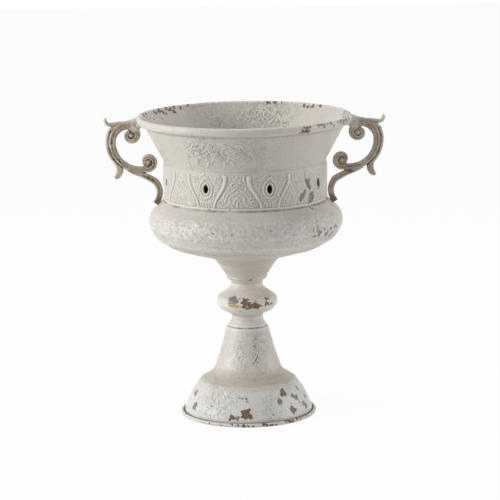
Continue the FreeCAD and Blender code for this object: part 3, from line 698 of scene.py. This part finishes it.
# Places where the paint is gone: angle from the front, radius, height, size
RUST_SPOTS = [
    (-3, 38.6, 156, 5.5), (1, 39.8, 153, 5.3), (-1, 40, 149.6, 3.0), (-6, 40.2, 150.4, 2.6), (17, 39.9, 152, 4.9),
    (12, 40.2, 150.8, 2.8), (23, 40.2, 150.8, 2.6), (7, 40.2, 150.8, 2.6), (28, 40.2, 150.8, 1.4),
    (42, 37.4, 158.4, 3.2), (40.5, 38.8, 155.4, 1.8), (38.5, 39.8, 152.8, 2.6), (45, 40.2, 151.9, 1.5),
    (50, 40.2, 151.7, 1.5), (55, 40.2, 152, 1.5), (-19.5, 34, 141.8, 1.4), (-14, 36.5, 145, 1.4),
    (-9.5, 38, 147.6, 1.6), (-2.5, 81.5, 17, 7.0), (1, 82.5, 14, 4.4), (40, 70, 38, 5.5), (42.5, 71.5, 36, 3.0),
    (45.5, 82.1, 15.8, 4.7), (48.5, 82.4, 15, 2.8), (-15.5, 83.8, 11.8, 3.6), (-17, 84.4, 9, 2.0),
    (-14, 89.6, 4.6, 1.8), (-9, 90, 3.2, 1.6), (-4, 90.2, 1.6, 2.6), (-0.5, 90.2, 1.6, 2.0), (3.5, 90, 1.4, 1.6),
    (12.5, 89.8, 4.2, 2.6), (15, 89.8, 2, 2.6), (19, 89.9, 1.6, 2.8), (23, 89.8, 2, 1.6), (33, 89, 4.6, 2.6),
    (37, 89.4, 3.6, 2.6), (40, 89.6, 2.6, 2.6), (45, 88.4, 4.8, 2.8), (49, 89, 4.2, 2.0), (53, 88.4, 4.8, 1.8),
    (58.5, 88, 5, 2.6), (63, 88, 5, 1.5), (-24, 90, 2, 1.2), (-35, 90, 2.6, 1.5), (-44, 90, 3, 1.2),
    (-70, 88.5, 4.8, 2.0), (30.5, 138.2, 393.6, 3.4), (33, 138.8, 394.2, 5.0), (35.5, 139, 394.5, 3.6),
    (259.2, 136.1, 398.5, 3.6), (254, 135.5, 397.6, 2.6), (243.5, 135.2, 397.2, 3.2), (241.5, 133.6, 394.6, 2.8),
    (237.5, 134.6, 396.4, 3.3), (234.6, 133.6, 394.6, 2.7), (232.5, 132.2, 392, 2.0), (230.5, 136, 398.2, 2.6),
    (228, 134.6, 396.2, 3.2), (226, 132.8, 393.4, 2.6), (224.2, 132, 391.8, 2.0), (224.5, 136.1, 398.5, 2.9),
    (219.5, 134.4, 396, 2.2), (214, 136.4, 399, 2.0), (247, 130.4, 388.6, 1.4), (251, 131.8, 391.2, 1.4),
    (238, 129.4, 386.6, 1.2), (166.3, 136.4, 399, 3.2), (162, 136.4, 399, 2.8), (158, 136.4, 399, 1.6),
    (143, 134.8, 396.8, 3.4), (140, 134, 395.4, 2.6), (137, 134.1, 395.5, 3.2), (131, 135.6, 398, 2.6),
    (11.5, 27.3, 183.4, 1.6), (8, 27.1, 182.8, 1.3), (4, 26.6, 182.4, 1.0), (13.5, 27.3, 184.4, 1.2),
]
GREY_SPOTS = [
    (-32, 37, 158.6, 5.5), (-26, 37.6, 157.6, 5.3), (-21, 38.6, 156.4, 3.4), (-15.5, 34.9, 161, 1.4),
    (-18, 36.4, 159, 1.2), (17.5, 37.6, 157.8, 1.6), (57, 38.6, 156.4, 1.5), (58.5, 39.2, 154.6, 1.3),
    (47.5, 21.6, 170, 1.2), (33.5, 75.2, 29, 4.3), (32, 76.2, 27, 2.6), (54, 74.6, 30, 4.3), (57, 75.6, 28.4, 4.3),
    (51.5, 74, 31.4, 2.6), (-10.5, 84.3, 10.5, 3.2), (65, 81.4, 17.4, 4.3), (67, 82.4, 14.8, 4.3),
    (-61, 80.2, 19.8, 4.3), (-62, 81.4, 17, 4.3), (-72, 73.2, 32.5, 4.3), (-71, 74.4, 30.4, 2.8),
    (-9, 71.5, 35.4, 1.6), (-6.5, 71.9, 34.8, 1.3), (-2.5, 72, 34.5, 1.7), (-1, 74.3, 30.5, 1.5),
    (68, 69.8, 38.2, 3.0), (66.5, 71, 36, 1.6), (75, 77.7, 24.2, 3.0), (43.5, 72.9, 33, 1.3), (46.5, 78.1, 23.5, 1.4),
    (23.5, 83.2, 13.2, 1.2), (59, 79, 22, 1.3), (-38, 78, 23, 1.1), (44.5, 126.7, 253, 3.2), (48.5, 127.6, 256, 4.5),
    (56, 126.3, 252, 4.3), (59.5, 127.6, 258, 3.2), (62.5, 124.3, 246.8, 4.5), (65, 127.6, 258, 3.2),
    (42.5, 127.6, 261.8, 1.5), (46.5, 127.6, 263, 1.7), (53, 127.6, 259.8, 1.8), (63.5, 126.2, 251.8, 2.6),
    (59, 122.3, 244, 2.0), (68.5, 127.6, 258, 2.0), (52, 124.6, 248, 1.4), (43, 107.8, 302.2, 4.9),
    (41.5, 107.8, 299, 3.0), (45, 107.8, 305.6, 2.8), (51, 107.8, 296.6, 4.7), (52, 107.8, 300.6, 4.7),
    (53, 107.8, 304, 3.2), (46, 107.8, 309.2, 2.8), (51, 111.7, 285, 1.7), (50, 110, 286.8, 1.7),
    (53, 113.4, 283.4, 1.7), (49, 107.8, 321.6, 4.7), (49, 107.8, 318, 4.5), (50.5, 107.8, 313.8, 3.0),
    (62, 107.8, 314.2, 3.4), (62, 107.8, 311, 2.6), (41.5, 139.8, 398.5, 1.8), (43.5, 139.8, 398.5, 4.3),
    (46.5, 141.1, 397, 3.0), (49, 140.4, 398, 1.8), (52, 139.2, 399.2, 3.0), (54.5, 139, 394.5, 2.8),
    (58, 140, 398.2, 1.8), (61.5, 139.8, 398.5, 4.3), (64.5, 140.4, 395.8, 3.2), (67, 140.8, 397.4, 2.6),
    (69.5, 140.7, 396, 4.3), (74, 140.6, 398, 2.8), (28.5, 136, 391.4, 2.6), (26, 137.2, 393, 1.6),
    (101.5, 135, 397, 4.5), (97, 136, 398.6, 2.8), (90, 135.7, 398, 4.9), (92, 137, 399.6, 4.3), (85, 138, 400, 2.8),
    (30.5, 129, 379.8, 1.5), (44.5, 129.1, 380, 1.5), (-25, 108, 290.8, 1.5), (-11, 108, 290, 1.5),
    (-40, 127.6, 257, 1.3), (-19, 127.5, 263.2, 1.3), (-24.5, 127.3, 254.8, 1.4), (-8, 127.6, 262.5, 1.2),
    (14.5, 126.6, 266.5, 1.3), (17, 32.9, 96, 1.5), (15.5, 33.4, 94.6, 1.1), (19, 30.5, 105, 1.2),
    (18.5, 29.6, 108.5, 1.0),
]
GOLD_SPOTS = [(-35, 40.2, 151.8, 1.8), (-31, 40.2, 151.4, 2.6), (-26, 40.2, 151.4, 2.6), (-21, 40.2, 151.2, 2.6),
              (-16, 40.2, 151, 1.8), (-11.5, 40.2, 150.8, 1.5), (0, 40.2, 150.6, 1.5)]

# Where the paint lies thick and rough: angle from the front, radius, height, reach
ROUGH_PATCHES = [(-24, 124, 367, 44), (4, 118, 362, 36), (165, 131, 386, 52), (200, 124, 366, 60),
                 (14, 35, 92, 34), (160, 36, 84, 40), (-35, 78, 24, 46), (20, 80, 22, 26),
                 (150, 78, 24, 60), (-120, 78, 24, 50)]


def chalk_paint():
    """Off-white paint over iron: grained and flaked, grimed and darkened with painted shade in its hollows, rubbed
    lighter with a painted highlight on its crests, darkened with dirt and painted shade in its slit, joints and foot's
    flare, chipped, and rusty inside.
    """
    paint = Finish("chalk_paint")
    ragged = paint.shaken(300, 2.4 * MM)
    coarse = paint.flakes(330, ragged)
    small = paint.flakes(620, ragged)
    gritty = paint.zone(236, 274, 6)
    for patch in ROUGH_PATCHES:
        gritty = paint.most(gritty, paint.near(*patch))
    gritty = paint.times(paint.plus(gritty, 0.25), paint.between(paint.noise(24, 2), 0.36, 0.6, 0.6, 1))
    lumps = paint.noise(360, 3, 0.55)
    flecks = paint.times(paint.between(paint.noise(300, 3, 0.6), 0.57, 0.63), gritty)
    fine = paint.noise(620, 3, 0.6)
    lines = paint.drawn_lines(520)
    spun_zone = paint.plus(paint.zone(178, 234), paint.times(paint.zone(46, 62, 8), 0.9))
    # Sound paint, by zones of the body
    tone = paint.blend(paint.between(paint.noise(9, 3), 0.35, 0.65), srgb(221, 216, 208), srgb(211, 205, 196))
    tone = paint.blend(paint.times(paint.zone(291, 420, 4), 0.55), tone, srgb(197, 191, 181))
    tone = paint.blend(paint.zone(4, 43, 5), tone, srgb(231, 229, 225))
    blotch = paint.between(paint.noise(60, 5, 0.6), 0.46, 0.7)
    tone = paint.blend(paint.times(blotch, 0.3), tone, srgb(194, 187, 177))
    tone = paint.blend(paint.between(fine, 0.5, 0.75, 0, 0.35), tone, srgb(178, 170, 160))
    tone = paint.blend(paint.between(lumps, 0.52, 0.7, 0, 0.25), tone, srgb(176, 168, 157))
    tone = paint.blend(paint.times(flecks, 0.7), tone, srgb(234, 231, 225))
    # The funnel and the belly's underside go warmer beige as dirt. The foot's flare does too, as dirt and painted shade
    # in its concave turn.
    tone = paint.blend(paint.times(spun_zone, 0.5), tone, srgb(190, 179, 164))
    tone = paint.blend(paint.times(spun_zone, paint.between(lines, 0.5, 0.68, 0, 0.5)), tone, srgb(160, 148, 132))
    layer = paint.noise(150, 6, 0.66)
    flaked = paint.times(paint.between(layer, 0.54, 0.565), paint.between(gritty, 0.2, 0.6))
    crack = paint.times(paint.between(paint.cracks(230, ragged), 0.0, 0.05, 1, 0),
                        paint.between(paint.noise(34, 2), 0.5, 0.62))
    # Grime and painted shade in hollows, rubbed paint and painted highlight on crests, and pinholes
    sunk = paint.marked("hollow")
    # Hollows go darker: grime, and painted shade.
    tone = paint.blend(paint.between(sunk, 0.03, 0.35, 0, 0.7), tone, srgb(150, 141, 128))
    # Crests go lighter: rubbed paint, and a painted highlight. This is held back on the rim and at the collar's foot.
    dull_edges = paint.most(paint.times(paint.zone(389, 420, 2), 0.75), paint.zone(337.5, 343, 1))
    crest_rub_and_highlight = paint.times(paint.between(sunk, -0.03, -0.25, 0, 0.7), paint.sum('SUBTRACT', 1.0, dull_edges))
    tone = paint.blend(crest_rub_and_highlight, tone, srgb(230, 227, 220))
    pinhole = paint.between(paint.noise(760, 2, 0.5), 0.72, 0.75)
    tone = paint.blend(paint.times(pinhole, 0.6), tone, srgb(112, 100, 88))
    # Chips down to primer, rust and gilding
    grey = paint.chips(GREY_SPOTS, coarse, small)
    tone = paint.blend(grey, tone, paint.blend(paint.between(fine, 0.4, 0.6), srgb(152, 149, 147), srgb(112, 107, 103)))
    rust = paint.chips(RUST_SPOTS, coarse, small)
    tone = paint.blend(rust, tone, paint.blend(paint.between(fine, 0.4, 0.62), srgb(140, 109, 82), srgb(90, 67, 51)))
    gold = paint.chips(GOLD_SPOTS, coarse, small)
    tone = paint.blend(gold, tone, srgb(190, 158, 108))
    # Dark seams with painted shade, worn eyes and the rusty inside
    reach = paint.radius()
    # The slit between the foot's bead and dome goes dark: rust and dirt, and painted shade in the gap. The gap where
    # the knop sits on the foot goes dark as painted shade.
    slit = paint.times(paint.between(paint.height, 5.2 * MM, 4.4 * MM),
                       paint.between(reach, 86.6 * MM, 86.2 * MM))
    slit = paint.times(slit, paint.between(reach, 83.5 * MM, 84.2 * MM))
    seam = paint.times(paint.zone(117.7, 118.3, 0.3), paint.between(paint.noise(60, 2), 0.45, 0.6, 0, 0.6))
    worn = paint.between(paint.marked("worn"), 0.3, 0.9, 0, 0.85)
    tone = paint.blend(worn, tone, srgb(96, 76, 58))
    tone = paint.blend(paint.most(slit, seam), tone, srgb(58, 47, 40))
    # The band's joints with belly and collar go darker: dirt, and painted shade where the parts meet.
    joint_dirt_and_shade = paint.most(paint.zone(287.6, 289.6, 0.9), paint.times(paint.zone(339.3, 340.3, 0.5), 0.5))
    joint_dirt_and_shade = paint.times(joint_dirt_and_shade, paint.between(paint.noise(45, 4, 0.6), 0.36, 0.6, 0.2, 0.8))
    tone = paint.blend(joint_dirt_and_shade, tone, srgb(128, 112, 96))
    soil = paint.plus(paint.marked("soil"), paint.between(layer, 0.3, 0.7, -0.3, 0.3))
    soil = paint.between(soil, 0.45, 0.6)
    tone = paint.blend(soil, tone, paint.blend(blotch, srgb(84, 62, 48), srgb(58, 46, 39)))
    bare = paint.most(paint.most(grey, rust), gold)
    # Relief in millimetres
    relief = paint.times(paint.times(lumps, 0.75), gritty)
    for coat, height in ((flecks, 0.42), (fine, 0.25), (flaked, 0.25), (paint.times(lines, spun_zone), 0.5),
                         (crack, -0.1), (bare, -0.45)):
        relief = paint.plus(relief, paint.times(coat, height))
    rough = paint.between(blotch, 0, 1, 0.42, 0.6)
    return paint.done(tone, rough, paint.bump(relief))


def handle_patina():
    """Ivory paint rubbed through to brown and gilt along the flutes, dark in the grooves."""
    cast = Finish("handle_patina")
    blotch = cast.between(cast.noise(70, 5, 0.6), 0.38, 0.64)
    tone = cast.blend(blotch, srgb(198, 188, 173), srgb(156, 143, 126))
    fine = cast.noise(420, 4, 0.65)
    tone = cast.blend(cast.between(fine, 0.48, 0.7, 0, 0.5), tone, srgb(126, 111, 94))
    sunk = cast.marked("hollow")
    streak = cast.plus(sunk, cast.between(cast.noise(120, 4, 0.6), 0.3, 0.7, -0.3, 0.3))
    tone = cast.blend(cast.between(streak, -0.05, 0.2, 0, 0.7), tone, srgb(132, 112, 90))
    patch = cast.noise(52, 3, 0.6)
    gilt = cast.times(cast.between(patch, 0.54, 0.6), cast.between(streak, -0.02, 0.15))
    tone = cast.blend(cast.times(gilt, 0.85), tone, srgb(176, 136, 88))
    dark = cast.times(cast.between(patch, 0.46, 0.4), cast.between(streak, 0.0, 0.16))
    tone = cast.blend(cast.times(dark, 0.9), tone, srgb(66, 49, 37))
    tone = cast.blend(cast.between(sunk, 0.2, 0.55, 0, 0.95), tone, srgb(52, 41, 33))
    tone = cast.blend(cast.between(sunk, -0.15, -0.5, 0, 0.75), tone, srgb(218, 211, 199))
    # The tail's toe goes dark brown: bare cast metal at its cut end, and painted shade where it lies against the
    # belly's shoulder.
    toe = cast.zone(270, 292, 5)
    tone = cast.blend(cast.times(toe, 0.75), tone, srgb(78, 60, 45))
    hook = cast.times(cast.between(cast.radius(), 152 * MM, 146 * MM), cast.zone(380, 410))
    tone = cast.blend(cast.times(hook, 0.8), tone, srgb(214, 209, 201))
    rough = cast.between(fine, 0.3, 0.7, 0.3, 0.5)
    return cast.done(tone, rough, cast.bump(cast.times(fine, 0.35)))


def zinc_hardware():
    """Dull plated steel, finely mottled."""
    zinc = Finish("zinc_hardware")
    spangle = zinc.noise(300, 3, 0.6)
    tone = zinc.blend(zinc.between(spangle, 0.4, 0.6), srgb(188, 187, 184), srgb(150, 149, 147))
    zinc.shader.inputs["Metallic"].default_value = 0.9
    return zinc.done(tone, zinc.between(spangle, 0.3, 0.7, 0.35, 0.5), zinc.bump(zinc.times(spangle, 0.05)))


def bare_wire():
    """Drawn steel wire with a brown skin."""
    wire = Finish("bare_wire")
    skin = wire.noise(500, 4, 0.6)
    tone = wire.blend(wire.between(skin, 0.45, 0.62), srgb(130, 122, 114), srgb(104, 80, 60))
    wire.shader.inputs["Metallic"].default_value = 0.7
    return wire.done(tone, wire.between(skin, 0.3, 0.7, 0.4, 0.6), wire.bump(wire.times(skin, 0.08)))


# The pieces

def unrolled(piece):
    """Of each vertex: place, normal, radius, angle from the front, and whether it faces away from the stem."""
    spots, normals = coordinates(piece) / MM, normals_of(piece)
    facing_out = (normals[:, :2] * spots[:, :2]).sum(axis=1) > 0
    angle = np.degrees(np.arctan2(spots[:, 0], -spots[:, 1]))
    return spots, normals, np.hypot(spots[:, 0], spots[:, 1]), angle, facing_out


def raise_ridge(piece, marks, width, lift):
    """One long ridge, or with a lift under 0 a crack, through marks (angle from the front, height)."""
    spots, normals, radius, angle, facing_out = unrolled(piece)
    marks = np.array(marks, dtype=float)
    low, high = marks[:, 1].min() - width, marks[:, 1].max() + width
    near = (spots[:, 2] > low) & (spots[:, 2] < high) & facing_out & (np.abs(angle - marks[0, 0]) < 40)
    reach = radius[near].mean()
    line = eased_line(np.stack([np.radians(marks[:, 0]) * reach, marks[:, 1]], axis=1), 4)
    relief = stroke(np.radians(angle[near]) * reach, spots[near, 2], line, width, 1)
    spots[near] += normals[near] * relief[:, None] * lift
    move_vertices(piece, spots * MM)


def raise_paint(piece, patches, seed, inside=False):
    """Strews short ridges of thick paint over patches of a shell.

    A patch is its angle from the front, height, half width, half height, number of ridges,
    their longest half length, width and height.
    """
    draw = np.random.default_rng(seed)
    spots, normals, radius, angle, facing_out = unrolled(piece)
    for middle, height, wide, tall, count, longest, width, lift in patches:
        u = np.radians((angle - middle + 180) % 360 - 180) * radius
        w = spots[:, 2] - height
        near = (np.abs(u) < 2.4 * wide) & (np.abs(w) < 2.4 * tall) & (facing_out != inside)
        relief = np.zeros(near.sum())
        for _ in range(count):
            x, z = draw.normal(0, 0.55, 2) * (wide, tall)
            tilt = math.radians(draw.choice((-1, 1)) * draw.uniform(20, 70))
            half = draw.uniform(0.35, 1) * longest
            bow = draw.uniform(-0.3, 0.3) * half
            line = eased_line([(x - half * math.cos(tilt), z - half * math.sin(tilt)),
                               (x - bow * math.sin(tilt), z + bow * math.cos(tilt)),
                               (x + half * math.cos(tilt), z + half * math.sin(tilt))], 3)
            relief = np.maximum(relief, stroke(u[near], w[near], line, width, lift * draw.uniform(0.5, 1)))
        spots[near] += normals[near] * relief[:, None]
    move_vertices(piece, spots * MM)


def mark_inside(piece, dry, wet):
    """Stores as "soil" how deep a vertex of the inner wall lies, from 0 at one height to 1 at another."""
    spots = coordinates(piece)
    facing_in = (normals_of(piece)[:, :2] * spots[:, :2]).sum(axis=1) < 0
    store(piece, "soil", np.clip((dry - spots[:, 2] / MM) / (dry - wet), 0, 1) * facing_in)


def keep_off(piece, low, high):
    """Weights of 1 between two heights, fading out within 4 mm of each."""
    height = coordinates(piece)[:, 2] / MM
    return np.clip((height - low) / 4, 0, 1) * np.clip((high - height) / 4, 0, 1)


def rough_skin(piece, low, high, beaten, coated):
    """Beating marks and a coat of paint between two heights, each as (grain, height)."""
    weigh(piece, "skin", keep_off(piece, low, high))
    displace(piece, clouds(piece.name + " beating", beaten[0]), beaten[1], "skin")
    displace(piece, clouds(piece.name + " coat", coated[0], 3), coated[1], "skin")


# Thick paint: patches for raise_paint, and lines for raise_ridge with their width and lift
COLLAR_PAINT = [(-25, 366, 24, 13, 120, 3.4, 1.8, 1.1), (-3, 368, 18, 8, 14, 6, 2.0, 1.0),
                (-2, 356, 30, 6, 16, 4, 2.0, 0.7), (150, 372, 60, 16, 60, 5, 2.0, 1.0)]
COLLAR_PAINT_INSIDE = [(167, 384, 26, 10, 44, 6, 2.0, 1.0), (156, 377, 16, 11, 30, 5, 2.0, 1.0),
                       (20, 375, 60, 14, 50, 5, 2.2, 0.6)]
COLLAR_LINES = [([(-13, 378), (-7.5, 372.5), (-1.5, 364.2), (4.5, 355.5)], 2.4, 1.2),
                ([(-40, 351), (-39.4, 345), (-39, 338)], 1.8, -0.7)]
BELLY_PAINT = [(-31, 262, 20, 11, 34, 2.2, 3.0, 1.0), (-6, 260, 46, 11, 60, 2.0, 2.8, 0.75),
               (24, 264, 30, 11, 40, 2.0, 2.8, 0.75), (180, 260, 200, 13, 160, 2.2, 2.8, 0.7)]
FOOT_PAINT = [(5, 93, 30, 19, 140, 2.6, 1.7, 0.75), (-30, 30, 34, 9, 80, 2, 2.2, 0.55),
              (180, 52, 120, 18, 140, 2.5, 2.0, 0.5)]
FOOT_LINES = [([(20.5, 88.2), (17, 83.2), (8, 74.8)], 2.0, 0.9),
              ([(22.5, 87), (19, 82), (10, 73.4)], 1.4, -0.8)]
SOIL_DRY, SOIL_WET = 345, 305

collar = rim_collar()
rough_skin(collar, 340, 404, (34, 0.8), (3.6, 0.5))
raise_paint(collar, COLLAR_PAINT, 3)
raise_paint(collar, COLLAR_PAINT_INSIDE, 4, inside=True)
for line in COLLAR_LINES:
    raise_ridge(collar, *line)

band = ornament_band()
displace(band, clouds("band coat", 2.4, 3), 0.3)

belly = shell("painted_belly", BELLY, -1, BELLY_STEPS, 1.45, 7)
rough_skin(belly, 214, 287, (34, 0.6), (4.2, 0.55))
raise_paint(belly, BELLY_PAINT, 5)

funnel = shell("painted_funnel", FUNNEL, 1, STEM_STEPS, 0.9, 3)
upper_knop = shell("painted_knop_top", KNOP_UPPER, 1, STEM_STEPS, 0.9, 3)
lower_knop = shell("painted_knop_bottom", KNOP_LOWER, -1, STEM_STEPS, 0.9, 3)

foot = foot_bell()
rough_skin(foot, 7, 115, (24, 0.6), (3.2, 0.6))
raise_paint(foot, FOOT_PAINT, 6)
for line in FOOT_LINES:
    raise_ridge(foot, *line)

right = handle_right()
displace(right, clouds("casting", 4, 3), 0.3)
left = mirrored(right, "scroll_handle_left")

shells = {"rim_collar": collar, "ornament_band": band, "belly_bowl": belly, "stem_funnel": funnel,
          "knop_upper": upper_knop, "knop_lower": lower_knop, "foot_bell": foot}
handles = {"handle_right": right, "handle_left": left}
for piece in (band, belly):
    mark_inside(piece, SOIL_DRY, SOIL_WET)
for piece in shells.values():
    mark_hollows(piece, 10)
    smooth_faces(piece)
for piece in handles.values():
    mark_hollows(piece, 30)
    smooth_faces(piece, 60)


def dress(pieces, finish):
    """Gives pieces their finish, and lets each stand for its CAD node."""
    for node, piece in pieces.items():
        piece.data.materials.clear()
        piece.data.materials.append(finish)
        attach(piece, "root")
        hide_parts(node)


def finish_nodes(names, finish):
    """Gives CAD nodes that show as they are their finish."""
    for name in names:
        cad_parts[name].data.materials.clear()
        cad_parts[name].data.materials.append(finish)


dress(shells, chalk_paint())
dress(handles, handle_patina())

finish_nodes(("tie_rod", "top_washer", "top_nut", "bottom_washer", "bottom_nut", "handle_screws", "handle_washers"),
             zinc_hardware())
finish_nodes(("rim_wire", "base_wire"), bare_wire())


# Floor, light and camera, in metres
FLOOR_SHARE = 0.95
WORLD_LEVEL = 0.26
LAMP_AIM = (0, 0, 0.2)
LAMPS = [("left softbox", (-2.4, -0.6, 1.1), 0.9, 45), ("right softbox", (2.4, -0.2, 0.9), 1.0, 18),
         ("top softbox", (0, 0.2, 2.4), 1.2, 16)]
CAMERA_PLACE = (0.0049, -3.29, 0.8384)
CAMERA_LENS = 182.2
CAMERA_DIP, CAMERA_ROLL = 10.66, -0.85


def white_for_camera(tree, share):
    """A factor that is the share on rays from the camera and from glossy or clear surfaces."""
    path = tree.nodes.new("ShaderNodeLightPath")
    total = path.outputs["Is Camera Ray"]
    for ray in ("Is Glossy Ray", "Is Transmission Ray"):
        most = tree.nodes.new("ShaderNodeMath")
        most.operation = 'MAXIMUM'
        tree.links.new(total, most.inputs[0])
        tree.links.new(path.outputs[ray], most.inputs[1])
        total = most.outputs[0]
    scaled = tree.nodes.new("ShaderNodeMath")
    scaled.operation = 'MULTIPLY'
    tree.links.new(total, scaled.inputs[0])
    scaled.inputs[1].default_value = share
    return scaled.outputs[0]


def studio_floor():
    deselect_all()
    bpy.ops.mesh.primitive_plane_add(size=12)
    floor = named("studio_floor")
    white = bpy.data.materials.new("studio_white")
    white.use_nodes = True
    tree = white.node_tree
    matte = tree.nodes["Principled BSDF"]
    matte.inputs["Base Color"].default_value = (0.9, 0.9, 0.9, 1)
    matte.inputs["Roughness"].default_value = 0.9
    glow = tree.nodes.new("ShaderNodeEmission")
    mix = tree.nodes.new("ShaderNodeMixShader")
    tree.links.new(white_for_camera(tree, FLOOR_SHARE), mix.inputs[0])
    tree.links.new(matte.outputs[0], mix.inputs[1])
    tree.links.new(glow.outputs[0], mix.inputs[2])
    tree.links.new(mix.outputs[0], tree.nodes["Material Output"].inputs["Surface"])
    floor.data.materials.append(white)


def studio_world(level):
    world = bpy.data.worlds.new("studio_world")
    bpy.context.scene.world = world
    world.use_nodes = True
    tree = world.node_tree
    soft = tree.nodes["Background"]
    soft.inputs["Color"].default_value = (1, 1, 1, 1)
    soft.inputs["Strength"].default_value = level
    white = tree.nodes.new("ShaderNodeBackground")
    white.inputs["Color"].default_value = (1, 1, 1, 1)
    mix = tree.nodes.new("ShaderNodeMixShader")
    tree.links.new(white_for_camera(tree, 1.0), mix.inputs[0])
    tree.links.new(soft.outputs[0], mix.inputs[1])
    tree.links.new(white.outputs[0], mix.inputs[2])
    tree.links.new(mix.outputs[0], tree.nodes["World Output"].inputs["Surface"])


def soft_lamp(name, place, size, power):
    data = bpy.data.lights.new(name, 'AREA')
    data.size = size
    data.energy = power
    lamp = bpy.data.objects.new(name, data)
    turn = (Vector(LAMP_AIM) - Vector(place)).to_track_quat('-Z', 'Y')
    lamp.matrix_world = Matrix.Translation(place) @ turn.to_matrix().to_4x4()
    bpy.context.scene.collection.objects.link(lamp)


studio_floor()
studio_world(WORLD_LEVEL)
for lamp in LAMPS:
    soft_lamp(*lamp)

camera_data = bpy.data.cameras.new("camera")
camera_data.lens = CAMERA_LENS
camera_data.sensor_width = 36
camera = bpy.data.objects.new("camera", camera_data)
camera.matrix_world = (Matrix.Translation(CAMERA_PLACE)
                       @ Matrix.Rotation(math.radians(90 - CAMERA_DIP), 4, 'X')
                       @ Matrix.Rotation(math.radians(CAMERA_ROLL), 4, 'Z'))
bpy.context.scene.collection.objects.link(camera)
bpy.context.scene.camera = camera
bpy.context.scene.view_settings.view_transform = 'Standard'
